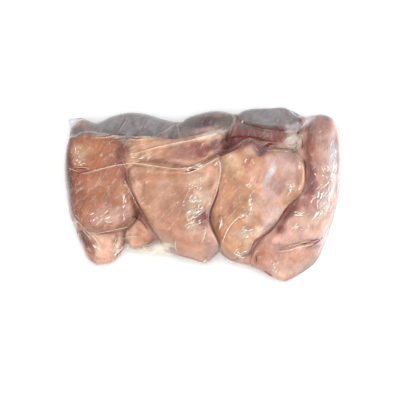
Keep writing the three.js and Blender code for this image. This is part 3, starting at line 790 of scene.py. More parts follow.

# Film that is cloudy or stained, some of it as painted shade and light, as told at them: setting of its
# colour, place, radii in millimetres, turn and strength.
CLOUDS = (
    # the grey clouds over the far ends are partly film lying doubled there, and partly painted shade and
    # grey reflection of the far slopes, which turn away from the light
    ("grey_cloud_and_shade_colour", (112, 123), (44, 20), 0, 0.9),
    ("grey_cloud_and_shade_colour", (148, 121), (40, 21), 0, 0.9),
    ("grey_cloud_and_shade_colour", (168, 129), (26, 14), -12, 0.75),
    ("grey_cloud_and_shade_colour", (190, 120), (12, 14), 20, 0.4),
    ("grey_cloud_and_shade_colour", (214, 113), (34, 7), 6, 0.35),
    ("grey_cloud_and_shade_colour", (267, 113), (46, 15), 0, 0.85),
    ("grey_cloud_and_shade_colour", (318, 113), (24, 13), 0, 0.45),
    ("grey_cloud_and_shade_colour", (80, 132), (14, 8), 0, 0.5),
    # the pale fold cloud along 139 down is painted light over the shade of the step at the upper fillets'
    # far edge
    ("fold_and_highlight_colour", (124, 139), (38, 3.5), 0, 0.25),
    ("frost_and_sheen_colour", (296, 127), (12, 5), 25, 0.45),
    ("grey_cloud_and_shade_colour", (182, 132), (18, 9), -6, 0.35),
    ("frost_and_sheen_colour", (68, 123), (15, 10), 25, 0.75),
    ("grey_cloud_and_shade_colour", (230, 125), (4, 16), -30, 0.4),
    ("frost_and_sheen_colour", (308, 121), (12, 4), 35, 0.45),
    ("fold_and_highlight_colour", (294, 141.5), (8, 10), 20, 0.62),
    # the stain clouds here are painted shade: down the pack's left edge, along the crevice at the right,
    # and in the gaps that the film spans by the lens and the far strip
    ("stain_and_shade_colour", (67, 190), (5, 46), 0, 0.35),
    ("stain_and_shade_colour", (308, 168), (4, 22), 0, 0.2),
    # the fold cloud at 210 across and 133 down is the cream of the fat band, with painted light over the
    # shade of the step below it
    ("fold_and_highlight_colour", (210, 133), (14, 3), 17, 0.42),
    ("stain_and_shade_colour", (229, 146.5), (18, 8), 32, 0.6),
    ("stain_and_shade_colour", (280, 138), (8, 7), 10, 0.3),
    # these two white clouds down the right side are painted sheen, the reflection of the side light along
    # the right slope
    ("frost_and_sheen_colour", (333, 163), (6, 24), 0, 0.4),
    ("frost_and_sheen_colour", (329, 192), (5, 16), -25, 0.25),
    ("fold_and_highlight_colour", (157, 250), (15, 6), 8, 0.75),
    ("fold_and_highlight_colour", (127, 249), (4, 14), -40, 0.3),
    ("frost_and_sheen_colour", (270, 171), (3, 17), -20, 0.35),
)

# Dark lines under the film: points of the view, width in millimetres, strength. Some are meat juice that
# has run under the film, such as the clot; most are painted shade in the crevices between fillets and
# beside the film's folds and wrinkles.
JUICE_AND_SHADE_LINES = {
    "left_folds": (((74, 168.8), (80, 168.4), (87, 169)), 1.2, 0.9),
    "left_folds_low": (((74, 171.6), (80, 172.8), (87, 171.6), (94, 170)), 1.1, 0.8),
    "long_ridge_shade": (((104, 168.4), (116, 166.4), (130, 165.2), (146, 166), (162, 168.4),
        (176, 170)), 0.8, 0.12),
    "grey_border": (((108, 141), (117, 139.8), (126, 139.4), (134, 138.6), (144, 137.8)), 1.2, 0.75),
    "grey_border_high": (((98, 137), (109, 135.6), (118, 134.6), (126, 135.2)), 1.1, 0.7),
    "grey_wrinkle_one": (((125.4, 116.4), (124.4, 121), (121.4, 126.4), (117.4, 132.6)), 1.0, 0.6),
    "grey_wrinkle_two": (((150, 117.6), (146, 122.8), (143.6, 127), (142, 132.2)), 0.9, 0.5),
    "grey_wrinkle_three": (((145.4, 123.4), (141, 126), (137, 128.8)), 0.7, 0.4),
    "grey_wrinkle_four": (((178.4, 125.4), (180.4, 128), (180, 131.4)), 1.3, 0.8),
    "grey_wrinkle_five": (((175.4, 123.2), (169, 127.6), (162, 133), (155, 137.6)), 0.8, 0.5),
    "strip_crevice": (((222, 139.6), (229, 138.4), (238, 136.4), (247, 137), (257, 138.6), (268, 140.8),
        (277, 141.6)), 2.4, 0.9),
    "bunch_red_one": (((271, 147.2), (279, 148.6), (288, 148.8), (295, 149.4)), 1.2, 0.4),
    "bunch_red_two": (((288, 144.8), (294, 145), (297.4, 141.6)), 1.0, 0.6),
    "clot": (((264, 147), (267.6, 145.2), (271, 144), (274, 144.4)), 3.2, 0.95),
    "back_violet_one": (((180, 166.8), (188, 167.4), (196, 167)), 1.1, 0.6),
    "back_violet_two": (((185, 172.4), (192, 170.8), (198, 168.6)), 1.0, 0.6),
    "lens_rim": (((219, 157.4), (226, 153.8), (233, 150.6), (240, 145.6), (244, 141.4)), 1.2, 0.6),
    "strip_top": (((238, 121), (248, 124.4), (259, 127.6), (270, 129.6), (281, 130)), 1.0, 0.5),
    "strip_notch": (((234, 114), (238, 119), (241, 121.4)), 1.4, 0.5),
    "lens_edge": (((216.6, 148.4), (220, 143.6), (225.4, 140.4), (232, 138.6)), 1.1, 0.8),
    "lens_low_edge": (((219, 155.6), (226, 152.8), (234, 150), (242, 146.6)), 1.0, 0.4),
    "middle_crevice": (((219.4, 186), (218.2, 191), (215.6, 199), (213, 206), (211.2, 213)), 1.6, 0.8),
    "left_crevice": (((129, 186), (133, 194), (138, 204), (142.6, 213), (148.6, 223.4), (154, 233),
        (158.6, 240)), 1.7, 0.7),
    "right_crevice": (((303.6, 158), (305.4, 166), (305.6, 176), (305.2, 186), (302, 193)), 1.6, 0.55),
    "white_edge": (((301.4, 136), (302.6, 142), (301.6, 150)), 1.2, 0.5),
    "low_crevice": (((276, 226), (270, 231.6), (262, 236.6), (255, 242), (251.4, 249), (250.6, 254)),
        1.3, 0.65),
    "low_stub": (((256, 256), (256.4, 260), (255.8, 264)), 1.2, 0.4),
    "left_tip": (((81, 234), (84.6, 241), (87.6, 248.6)), 1.8, 0.6),
    "tip_rib_one": (((118, 239), (115, 244), (111.4, 249)), 1.1, 0.6),
    "tip_rib_two": (((127, 245), (121.6, 251), (115, 257.6)), 1.0, 0.6),
    "left_low_shade": (((95, 234.6), (105, 233.6), (114, 232)), 0.9, 0.35),
    "right_fold_one": (((298, 243.6), (304, 244), (311, 241.4), (320, 239)), 1.2, 0.7),
    "right_fold_two": (((304, 249.4), (311, 246.4), (317, 242.4), (323, 237.6)), 2.0, 0.6),
    "near_side": (((141, 247.6), (148, 246.4), (154, 245)), 1.0, 0.4),
    "near_rib": (((132, 216), (138, 218.6), (143, 223), (147, 229)), 1.1, 0.6),
    "ochre_crease": (((184, 171.4), (191, 170), (198, 167.6)), 1.0, 0.5),
    "low_edge_right": (((264, 271), (268, 274), (273, 276.6)), 1.6, 0.5),
}

# Round spots of blood: place and radius in millimetres.
JUICE_SPOTS = (((203.5, 228.5), 0.9), ((257, 182), 0.6), ((304.6, 205), 0.7))


# -------------------------------------------------------------------------------------------------------
# Mesh and node helpers


def vertex_normals(points, quads):
    """Normals of a mesh of quads: the cross products of their diagonals, summed at their corners."""
    corners = points[quads]
    across = np.cross(corners[:, 2] - corners[:, 0], corners[:, 3] - corners[:, 1])
    normals = np.zeros_like(points)
    for corner in range(4):
        np.add.at(normals, quads[:, corner], across)
    return normals / np.maximum(np.linalg.norm(normals, axis=1, keepdims=True), 1e-12)


def new_piece(name, points, quads, triangles, material):
    """A smooth mesh object in metres from points in millimetres. It rides on the part's one body."""
    triangles = np.asarray(triangles, int).reshape(-1, 3)
    loops = np.concatenate([quads.ravel(), triangles.ravel()]).astype(np.int32)
    starts = np.concatenate([np.arange(len(quads)) * 4, len(quads) * 4 + np.arange(len(triangles)) * 3])
    mesh = bpy.data.meshes.new(name)
    mesh.vertices.add(len(points))
    mesh.vertices.foreach_set("co", (points * MM).astype(np.float32).ravel())
    mesh.loops.add(len(loops))
    mesh.loops.foreach_set("vertex_index", loops)
    mesh.polygons.add(len(starts))
    mesh.polygons.foreach_set("loop_start", starts.astype(np.int32))
    mesh.polygons.foreach_set("use_smooth", np.ones(len(starts), bool))
    mesh.update(calc_edges=True)
    mesh.validate()
    mesh.materials.append(material)
    piece = bpy.data.objects.new(name, mesh)
    bpy.context.scene.collection.objects.link(piece)
    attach(piece, "root")
    return piece


def store(piece, name, values):
    """Writes an attribute at a piece's vertices: a number for each, or a colour."""
    values = np.asarray(values, np.float32)
    if values.ndim == 1:
        piece.data.attributes.new(name, "FLOAT", "POINT").data.foreach_set("value", values)
    else:
        colours = np.column_stack([values, np.ones(len(values), np.float32)])
        piece.data.attributes.new(name, "FLOAT_COLOR", "POINT").data.foreach_set("color", colours.ravel())


def store_uv(piece, name, places):
    """Writes a UV map, in metres, from one place for each vertex."""
    corners = np.empty(len(piece.data.loops), np.int32)
    piece.data.loops.foreach_get("vertex_index", corners)
    layer = piece.data.uv_layers.new(name=name)
    layer.data.foreach_set("uv", (places[corners] * MM).astype(np.float32).ravel())


def ring_quads(rings, sides):
    """Quads between neighbouring rings of points, each closed."""
    index = np.arange(rings * sides).reshape(rings, sides)
    index = np.column_stack([index, index[:, 0]])
    return np.stack([index[:-1, :-1], index[1:, :-1], index[1:, 1:], index[:-1, 1:]], -1).reshape(-1, 4)


def node(tree, kind, settings=None, links=None):
    """Adds a node, sets its properties and sockets by name, and links its inputs from other sockets."""
    made = tree.nodes.new(kind)
    for key, value in (settings or {}).items():
        if isinstance(key, str) and hasattr(made, key):
            setattr(made, key, value)
        else:
            made.inputs[key].default_value = value
    for key, source in (links or {}).items():
        tree.links.new(source, made.inputs[key])
    return made


def new_material(name):
    """An empty node material, and its tree."""
    material = bpy.data.materials.new(name)
    material.use_nodes = True
    material.node_tree.nodes.clear()
    return material, material.node_tree


def finish_material(tree, surface):
    """Joins a surface shader to the material's output."""
    node(tree, "ShaderNodeOutputMaterial", links={"Surface": surface})


def attribute(tree, name, output="Fac"):
    """A piece's stored attribute."""
    return node(tree, "ShaderNodeAttribute", {"attribute_name": name}).outputs[output]


def noise(tree, where, width, detail=2.0, roughness=0.5, distortion=0.0):
    """Noise from 0 to 1 whose blots are about as wide as told, in metres."""
    look = {"Scale": 1 / width, "Detail": detail, "Roughness": roughness, "Distortion": distortion}
    return node(tree, "ShaderNodeTexNoise", look, {"Vector": where}).outputs["Fac"]


def respan(tree, value, span, result):
    """A value whose span is turned into that of the result, and held there."""
    ends = {"From Min": span[0], "From Max": span[1], "To Min": result[0], "To Max": result[1]}
    return node(tree, "ShaderNodeMapRange", ends, {"Value": value}).outputs["Result"]


def times(tree, value, factor, clamp=True):
    """The product of two values, held from 0 to 1 where told."""
    look = {"operation": "MULTIPLY", "use_clamp": clamp}
    return node(tree, "ShaderNodeMath", look, {0: value, 1: factor}).outputs["Value"]


def brightened(tree, colour, factor):
    """A colour times a value."""
    product = node(tree, "ShaderNodeVectorMath", {"operation": "SCALE"}, {0: colour, "Scale": factor})
    return product.outputs["Vector"]


def tinted(tree, colour, tint, share):
    """A colour, mixed with an even tint by a share."""
    mixed = node(tree, "ShaderNodeMix", {"data_type": "RGBA", 7: (*tint, 1)}, {0: share, 6: colour})
    return mixed.outputs[2]


def over(tree, share, under, cover):
    """One shader over another by a share."""
    mixed = node(tree, "ShaderNodeMixShader", None, {0: share, 1: under, 2: cover})
    return mixed.outputs["Shader"]


def drawn(tree, where, turn, factor):
    """Places for a pattern that is drawn out by a factor along a direction in degrees."""
    look = {"vector_type": "TEXTURE", "Rotation": (0, 0, math.radians(turn)), "Scale": (factor, 1, 1)}
    return node(tree, "ShaderNodeMapping", look, {"Vector": where}).outputs["Vector"]


# -------------------------------------------------------------------------------------------------------
# Materials

NOISE_MIDDLE = (0.3, 0.7)  # nearly all of a noise's values lie in it


def raw_meat(settings):
    """Raw chicken breast, skinned and trimmed: moist lean meat that scatters light under its surface.
    Its colour comes from the piece's attribute, which holds painted shade and light in places. Broad
    patches make it deeper or paler, fibres run along the grain, and over them lie rosy blushes, sinew in
    pale streaks, and fine flecks of fat."""
    material, tree = new_material("raw_chicken_breast")
    place = node(tree, "ShaderNodeTexCoord").outputs["Object"]
    grain = node(tree, "ShaderNodeUVMap", {"uv_map": "grain"}).outputs["UV"]
    rosy, fat = linear(COLOURS["rose_lean"]), linear(COLOURS["fat"])
    deep_tone, pale_tone = (0.88, 0.8, 0.78, 1), (1.08, 1.1, 1.1, 1)

    along_fibres = node(tree, "ShaderNodeMapping", {"Scale": (0.09, 1, 1)}, {"Vector": grain})
    along_sinew = node(tree, "ShaderNodeMapping", {"Scale": (0.3, 1, 1)}, {"Vector": grain})
    # real fibres are finer than 1.3 mm: these are as fine as the render shows
    fibres = noise(tree, along_fibres.outputs["Vector"], 1.3 * MM, 3.0, 0.6)
    sinew = noise(tree, along_sinew.outputs["Vector"], 3.4 * MM, 3.0, 0.6, 0.8)
    patches = noise(tree, place, 11 * MM, 4.0, 0.6)
    blushes = noise(tree, place, 7 * MM, 3.0, 0.6, 0.5)
    flecks = noise(tree, place, 2.4 * MM)

    tone = node(tree, "ShaderNodeMix", {"data_type": "RGBA", 6: deep_tone, 7: pale_tone},
                {0: respan(tree, patches, NOISE_MIDDLE, (0, 1))})
    toned = node(tree, "ShaderNodeMix", {"data_type": "RGBA", "blend_type": "MULTIPLY", 0: 1.0},
                 {6: attribute(tree, "meat_colour_and_painted_light", "Color"), 7: tone.outputs[2]})
    colour = brightened(tree, toned.outputs[2], respan(tree, fibres, NOISE_MIDDLE, (0.89, 1.11)))
    colour = tinted(tree, colour, rosy, respan(tree, blushes, (0.52, 0.72), (0, 0.3)))
    colour = tinted(tree, colour, fat, respan(tree, sinew, (0.55, 0.75), (0, 0.42)))
    colour = tinted(tree, colour, fat, respan(tree, flecks, (0.62, 0.76), (0, 0.25)))

    bump = node(tree, "ShaderNodeBump", {"Strength": 0.5, "Distance": 0.25 * MM}, {"Height": fibres})
    look = {
        "Roughness": 0.5,
        "IOR": 1.36,
        "Subsurface Weight": settings.scatter,
        "Subsurface Radius": (1.0, 0.35, 0.22),
        "Subsurface Scale": 4 * MM,
    }
    surface = node(tree, "ShaderNodeBsdfPrincipled", look,
                   {"Base Color": colour, "Normal": bump.outputs["Normal"]})
    finish_material(tree, surface.outputs["BSDF"])
    return material


def clear_film(settings):
    """Coextruded polyethylene film, vacuum shrunk: clear and glossy, with crinkles where it puckers.
    Its attributes cloud or stain it, as milk of their tint would: film lying doubled, painted grey shade on
    the far slopes, painted shade in the crevices and gaps, and painted sheen down the right slope. Fine
    pale marks run the way it was stretched."""
    material, tree = new_material("vacuum_pouch_film")
    place = node(tree, "ShaderNodeTexCoord").outputs["Object"]
    pucker = attribute(tree, "pucker")

    # the film is drawn along the fillets, so its crinkles and marks are longer that way
    crinkles = noise(tree, drawn(tree, place, 62, 2.4), 2.4 * MM, 3.0, 0.6, 0.5)
    marks = noise(tree, drawn(tree, place, 50, 4.0), 2.2 * MM, 3.0, 0.65, 0.7)
    streaks = noise(tree, place, 9 * MM, 4.0, 0.6)

    depth = node(tree, "ShaderNodeMath", {"operation": "MULTIPLY_ADD", 1: 1.5, 2: 0.06}, {0: pucker})
    bump = node(tree, "ShaderNodeBump", {"Strength": 0.8, "Distance": 0.8 * MM},
                {"Height": times(tree, crinkles, depth.outputs["Value"], False)})
    normal = bump.outputs["Normal"]

    # where it is smooth it reflects the lights softly, and where it crinkles they are sharp glints
    softness = (settings.film_roughness + 0.25, settings.film_roughness)
    clear = node(tree, "ShaderNodeBsdfTransparent", {"Color": (0.99, 0.985, 0.98, 1)})
    gloss = node(tree, "ShaderNodeBsdfGlossy", {"Color": (1, 1, 1, 1)},
                 {"Roughness": respan(tree, pucker, (0, 0.5), softness), "Normal": normal})
    fresnel = node(tree, "ShaderNodeFresnel", {"IOR": 1.5}, {"Normal": normal})
    film = over(tree, fresnel.outputs["Fac"], clear.outputs["BSDF"], gloss.outputs["BSDF"])

    cloudiness = node(
        tree, "ShaderNodeMath", {"operation": "MULTIPLY_ADD", "use_clamp": True},
        {0: attribute(tree, "cloud"), 1: respan(tree, streaks, NOISE_MIDDLE, (0.8, 1.1)),
         2: respan(tree, marks, (0.57, 0.75), (0, 0.35))})
    tint = attribute(tree, "cloud_tint", "Color")
    streaked = brightened(tree, tint, respan(tree, marks, NOISE_MIDDLE, (0.86, 1.15)))
    milk = node(tree, "ShaderNodeBsdfPrincipled", {"Roughness": 0.3, "IOR": 1.5},
                {"Base Color": streaked, "Normal": normal})
    finish_material(tree, over(tree, cloudiness.outputs["Value"], film, milk.outputs["BSDF"]))
    return material


def uneven_coat(name, share_name, width, strength, look):
    """A thin coat that covers by the piece's share attribute, times a noise of the given width and
    strength. Elsewhere it is clear."""
    material, tree = new_material(name)
    place = node(tree, "ShaderNodeTexCoord").outputs["Object"]
    uneven = respan(tree, noise(tree, place, width), (0.35, 0.65), strength)
    share = times(tree, attribute(tree, share_name), uneven)
    clear = node(tree, "ShaderNodeBsdfTransparent")
    coat = node(tree, "ShaderNodeBsdfPrincipled", look)
    finish_material(tree, over(tree, share, clear.outputs["BSDF"], coat.outputs["BSDF"]))
    return material


def folded_film_and_glints(settings):
    """The same film bunched in a narrow fold: several layers thick, so that it is milky white. On the
    short pucker strokes this milky white is a painted glint.
    """
    look = {"Base Color": (*settings.fold_and_highlight_colour, 1), "Roughness": 0.22, "IOR": 1.5}
    return uneven_coat("folded_film_and_painted_glints", "milk", 2.5 * MM, (0.4, 1.1), look)


def juice_and_painted_shade(settings):
    """A dark red coat with a wet gloss: meat juice, thinned blood that has run into the folds, and
    painted shade along the crevices and beside the folds.
    """
    look = {"Base Color": (*settings.juice_and_shade_colour, 1), "Roughness": 0.2, "IOR": 1.35}
    return uneven_coat("juice_and_painted_shade", "stain_and_shade", 4 * MM, (0.5, 1.0), look)


# -------------------------------------------------------------------------------------------------------
# Shapes

FOLD_HEIGHT = 0.7  # of a crease's milky fold, for each millimetre that the film stands up there
FOLD_LIFT = -0.15  # from the film to the middle of a fold
# the pucker strokes are painted glints: short milky white tubes where the film's wrinkles catch the light
STROKE_HEIGHT = 0.5
STROKE_LIFT = -0.1
STROKE_WIDTHS = (0.7, 1.4)
STROKE_LENGTHS = (0.5, 1.3)  # shares of the group's stroke length
STROKE_GLINT_MILK = (0.5, 1.2)
STROKE_TURN = 14  # how far the strokes' directions scatter, in degrees
STROKE_BOW = 0.12
# the dark runs are meat juice in some places and painted shade in crevices and beside folds in the rest
RUN_HEIGHT = 0.45
RUN_LIFT = -0.08
SHADED_GAPS = (0.7, 3.0)  # the film is darkened with the stain tint where it spans gaps this high: painted shade in the crevices
GAP_SHADE = 0.4
PUCKER_REACH = 1.3  # the film crinkles this much further out than a group's strokes spread
PUCKER_CORE = 0.4
STROKE_SPREAD = 0.5  # deviation of the strokes' places, as a share of their group's spread
FAINT = 0.05  # a share of cloud under which its tint fades out
BLUNT = 0.05  # share of its width that a tube keeps at its ends
SPOT_LENGTH = 9  # points of a juice spot
SPOT_WIDTH = 1.7  # of a juice spot, for each millimetre of its radius
SPOT_SLANT = 0.25
SPOT_STAIN = 0.95


def meat_colour_and_painted_light(fillet, points):
    """The meat's colour at points: the fillet's tint under its blots, some of which are painted shade
    and light, varied by soft mottles.
    """
    x, y = points[:, 0], points[:, 1]
    plan = unrolled(points)
    colour = np.tile(linear(COLOURS[fillet["tint"]]), (len(x), 1))
    wobble = sample(mottle(91, 9), *plan)
    for name, place, radii, turn, strength in BLOTS[fillet["name"]]:
        share = strength * blot(x, y, seen_at(place)[0], radii, turn, MEAT_BLOT_CORE, wobble)
        colour += share[:, None] * (np.array(linear(COLOURS[name])) - colour)
    mottles = 1 + 0.05 * sample(mottle(92, 14), *plan) + 0.03 * sample(mottle(93, 4), *plan)
    return np.clip(colour * mottles[:, None], 0, 1)


def fillet_mesh(fillet):
    """Points and faces of a fillet: rings round its middle, over its upper side, round its outline and
    back under its lower side, drawn in by the inset along their normals. They crowd towards the outline,
    by the sine of a quarter turn."""
    t = np.linspace(0, 1, RINGS + 1)
    angle = np.linspace(0, 2 * math.pi, SPOKES, endpoint=False)
    reach = radius_at(fillet, angle)
    share = np.sin(t * math.pi / 2)[:, None] * np.ones(SPOKES)
    x = fillet["middle"][0] + share * reach * np.cos(angle)
    y = fillet["middle"][1] + share * reach * np.sin(angle)
    rest, relief = sample(fillet["rest"], x, y), sample(fillet["relief"], x, y)
    top = np.stack([x, y, upper_side(fillet, x, y, rest, relief, share)], -1)
    sole = np.stack([x, y, lower_side(fillet, y, rest, share)], -1)
    rings = np.concatenate([top[1:], sole[-2:0:-1]])
    points = np.vstack([rings.reshape(-1, 3), top[0, 0], sole[0, 0]])
    quads = ring_quads(len(rings), SPOKES)
    spoke = np.arange(SPOKES)
    following = (spoke + 1) % SPOKES
    last_ring = (len(rings) - 1) * SPOKES
    top_pole, low_pole = len(points) - 2, len(points) - 1
    triangles = np.vstack([
        np.column_stack([np.full(SPOKES, top_pole), spoke, following]),
        np.column_stack([np.full(SPOKES, low_pole), last_ring + following, last_ring + spoke]),
    ])
    normals = vertex_normals(points, quads)
    normals[top_pole], normals[low_pole] = (0, 0, 1), (0, 0, -1)
    points -= MEAT_INSET * normals
    points[:, 2] = np.maximum(points[:, 2], LEAST_HEIGHT)
    return points, quads, triangles


@lru_cache(maxsize=1)
def crease_lines():
    """The creases on the plan: for each, its line, width and height."""
    return [(smooth_line(seen_at(pixels), np.linspace(0, 1, 14)), width, height)
            for pixels, width, height, _ in CREASES.values()]


def crease_relief(x, y):
    """How far the film stands up over its creases. Each adds a bell across its line, less a shallow
    hollow beside it, and fades at the line's ends."""
    relief = np.zeros(x.shape)
    place = np.stack([x, y], -1)
    for line, width, height in crease_lines():
        room = np.ptp(line, axis=0) / 2 + CREASE_REACH
        near = (np.abs(place - line.mean(0)) < room).all(-1)
        away, at = along_line(x[near], y[near], line)
        core, foot = CREASE_CORE * width, CREASE_FOOT * width
        hollow = CREASE_HOLLOW * ease(foot, core, away) * ease(width, 2 * width, away)
        fade = ease(0, CREASE_ENDS, at) * ease(1, 1 - CREASE_ENDS, at)
        relief[near] += height * (ease(core, 0, away) - hollow) * fade
    return relief


def meat_top(x, y):
    """Height of the fillets' upper sides, or the widest line's where there is no fillet."""
    height = side_height(y)
    for fillet in heap()[0]:
        share = share_out(fillet, x, y)
        rest, relief = sample(fillet["rest"], x, y), sample(fillet["relief"], x, y)
        top = upper_side(fillet, x, y, rest, relief, share)
        height = np.where(share < 1, np.maximum(height, top), height)
    return height


def film_top(x, y):
    """Height of the upper film: just over the fillets, across their gaps, and raised at creases."""
    return np.maximum(sample(heap()[1], x, y), meat_top(x, y)) + FILM_GAP + crease_relief(x, y)


def film_bottom(x, y):
    """Height of the lower film: just under the lower fillets, and flat where the pack lies."""
    stack, _, soles = heap()
    height = sample(soles, x, y)
    for fillet in stack:
        share = share_out(fillet, x, y)
        sole = lower_side(fillet, y, sample(fillet["rest"], x, y), share)
        height = np.where(share < 1, np.minimum(height, sole), height)
    return np.maximum(height - FILM_GAP, 0)


def film_mesh():
    """Points and quads of the whole film. Its plan spans the four edges: opposite edges are blended,
    less the corners' own blend. The upper and lower skin are height fields over that plan and share its
    rim. Where no meat is between them they lie close to each other."""
    near, far, left, right = film_edges()
    s, t = graded_steps(FILM_ACROSS)[None, :, None], graded_steps(FILM_ALONG)[:, None, None]
    corners = (near[0] * (1 - s) + near[-1] * s) * (1 - t) + (far[0] * (1 - s) + far[-1] * s) * t
    plan = near * (1 - t) + far * t + left[:, None] * (1 - s) + right[:, None] * s - corners
    x, y, rim_height = plan[..., 0], plan[..., 1], plan[..., 2]
    rows, columns = x.shape
    from_rim = np.minimum(
        np.minimum(np.arange(rows)[:, None], np.arange(rows)[::-1][:, None]),
        np.minimum(np.arange(columns), np.arange(columns)[::-1]),
    )
    inwards = ease(0, RIM_CELLS, from_rim)
    top, bottom = film_top(x, y), film_bottom(x, y)
    thin = top - bottom < 2 * WEB
    level = rim_height * (1 - inwards) + (top + bottom) / 2 * inwards
    top, bottom = np.where(thin, level + WEB / 2, top), np.where(thin, level - WEB / 2, bottom)
    rim = from_rim == 0
    top, bottom = np.where(rim, rim_height, top), np.where(rim, rim_height, np.maximum(bottom, 0))
    upper = np.stack([x, y, top], -1).reshape(-1, 3)
    lower = np.stack([x, y, bottom], -1)[~rim]
    upper_index = np.arange(rows * columns).reshape(rows, columns)
    lower_index = upper_index.copy()
    lower_index[~rim] = len(upper) + np.arange(len(lower))

    def faces(index, order):
        corner = (index[:-1, :-1], index[:-1, 1:], index[1:, 1:], index[1:, :-1])
        return np.stack([corner[i] for i in order], -1).reshape(-1, 4)

    quads = np.vstack([faces(upper_index, (0, 1, 2, 3)), faces(lower_index, (0, 3, 2, 1))])
    return np.vstack([upper, lower]), quads


def tube_along(line, widths, heights):
    """Points and faces of a closed tube along a line: ellipses across it, each with the half width and
    half height told, and a point at both ends."""
    run = np.gradient(line, axis=0)
    run /= np.maximum(np.linalg.norm(run, axis=1, keepdims=True), 1e-9)
    sideways = np.cross(run, (0, 0, 1.0))
    sideways /= np.maximum(np.linalg.norm(sideways, axis=1, keepdims=True), 1e-9)
    upwards = np.cross(sideways, run)
    turn = np.linspace(0, 2 * math.pi, TUBE_SIDES, endpoint=False)
    ring = (sideways[:, None] * (np.cos(turn)[:, None] * widths[:, None, None])
            + upwards[:, None] * (np.sin(turn)[:, None] * heights[:, None, None]))
    points = (line[:, None] + ring)[1:-1].reshape(-1, 3)
    count = len(line) - 2
    quads = ring_quads(count, TUBE_SIDES)
    side = np.arange(TUBE_SIDES)
    following = (side + 1) % TUBE_SIDES
    last = (count - 1) * TUBE_SIDES
    start_tip, end_tip = len(points), len(points) + 1
    triangles = np.vstack([
        np.column_stack([np.full(TUBE_SIDES, start_tip), side, following]),
        np.column_stack([np.full(TUBE_SIDES, end_tip), last + following, last + side]),
    ])
    return np.vstack([points, line[:1], line[-1:]]), quads, triangles


def join(parts):
    """Several (points, quads, triangles, values) as one, with their indices moved along."""
    points, quads, triangles, values, start = [], [], [], [], 0
    for part_points, part_quads, part_triangles, value in parts:
        points.append(part_points)
        quads.append(part_quads + start)
        triangles.append(part_triangles + start)
        values.append(np.full(len(part_points), value))
        start += len(part_points)
    return np.vstack(points), np.vstack(quads), np.vstack(triangles), np.concatenate(values)


def lying_tube(plan_line, width, height, lift):
    """A tube that lies on the film along a plan line, its middle lifted over the film. It swells from
    its ends by the root of a half wave of a sine."""
    z = film_top(plan_line[:, 0], plan_line[:, 1]) + lift
    swell = np.maximum(np.sin(np.linspace(0, math.pi, len(plan_line))) ** 0.5, BLUNT)
    return tube_along(np.column_stack([plan_line, z]), width / 2 * swell, height / 2 * swell)


def line_at(pixels):
    """A smooth line on the plan through pixels of the view, with points about a line step apart."""
    places = seen_at(pixels)
    length = np.hypot(*np.diff(places, axis=0).T).sum()
    return smooth_line(places, np.linspace(0, 1, max(8, int(length / LINE_STEP))))


def film_folds_and_glints():
    """The film's folds: a tube along each crease, and the short bowed strokes where the film puckers,
    whose milky white is a painted glint.
    """
    parts = []
    for pixels, width, height, milk in CREASES.values():
        parts.append((*lying_tube(line_at(pixels), width, FOLD_HEIGHT * height, FOLD_LIFT), milk))
    chance = np.random.default_rng(7)
    along = np.linspace(-1, 1, 7)[:, None]
    for place, spread, direction, length, count, _ in PUCKERS:
        middles = seen_at(place)[0] + chance.normal(0, STROKE_SPREAD, (count, 2)) * spread
        for middle in middles:
            turn = math.radians(direction + chance.normal(0, STROKE_TURN))
            reach = length * chance.uniform(*STROKE_LENGTHS) / 2
            bow = chance.normal(0, STROKE_BOW) * reach
            heading = np.array((math.cos(turn), math.sin(turn)))
            aside = np.array((-heading[1], heading[0]))
            line = middle + along * reach * heading + (1 - along**2) * bow * aside
            stroke = lying_tube(line, chance.uniform(*STROKE_WIDTHS), STROKE_HEIGHT, STROKE_LIFT)
            parts.append((*stroke, chance.uniform(*STROKE_GLINT_MILK)))
    return join(parts)


def juice_and_shade_runs():
    """Dark runs under the film: a flat run along each dark line, juice in some and painted shade in
    the rest, and a flat drop of blood at each spot.
    """
    parts = []
    for pixels, width, strength in JUICE_AND_SHADE_LINES.values():
        parts.append((*lying_tube(line_at(pixels), width, RUN_HEIGHT, RUN_LIFT), strength))
    for place, radius in JUICE_SPOTS:
        along = np.linspace(-1, 1, SPOT_LENGTH)[:, None]
        line = seen_at(place)[0] + along * np.array((radius, SPOT_SLANT * radius))
        parts.append((*lying_tube(line, SPOT_WIDTH * radius, STROKE_HEIGHT, STROKE_LIFT), SPOT_STAIN))
    return join(parts)


def film_clouds(settings, points):
    """How cloudy the film is at points, and the tint of that cloud. It is darkened with the stain tint
    where it spans a gap, as painted shade in the crevices, and clouded, stained or lightened by each blot,
    some of which are painted shade and light. The strongest decides, and tints blend."""
    x, y = points[:, 0], points[:, 1]
    wobble = sample(mottle(95, 8), *unrolled(points))
    gap = sample(heap()[1], x, y) - meat_top(x, y)
    shares = [("stain_and_shade_colour", GAP_SHADE * ease(*SHADED_GAPS, gap) * (points[:, 2] > side_height(y)))]
    for name, place, radii, turn, strength in CLOUDS:
        cover = blot(x, y, seen_at(place)[0], radii, turn, FILM_BLOT_CORE, wobble)
        shares.append((name, strength * cover))
    cloud, tint = np.zeros(len(points)), np.tile(settings.fold_and_highlight_colour, (len(points), 1))
    for name, share in shares:
        cloud = np.maximum(cloud, share)
        mix = share / np.maximum(cloud, FAINT)
        tint += mix[:, None] * (np.array(getattr(settings, name)) - tint)
    return cloud, tint


def film_puckers(points):
    """How much the film crinkles at points: most at the middle of each group of strokes."""
    wobble = sample(mottle(95, 8), *unrolled(points))
    pucker = np.zeros(len(points))
    for place, spread, _, _, _, crinkle in PUCKERS:
        reach = PUCKER_REACH * np.array(spread)
        share = blot(points[:, 0], points[:, 1], seen_at(place)[0], reach, 0, PUCKER_CORE, wobble)
        pucker = np.maximum(pucker, crinkle * share)
    return pucker


# -------------------------------------------------------------------------------------------------------
# Settings, operators and panel


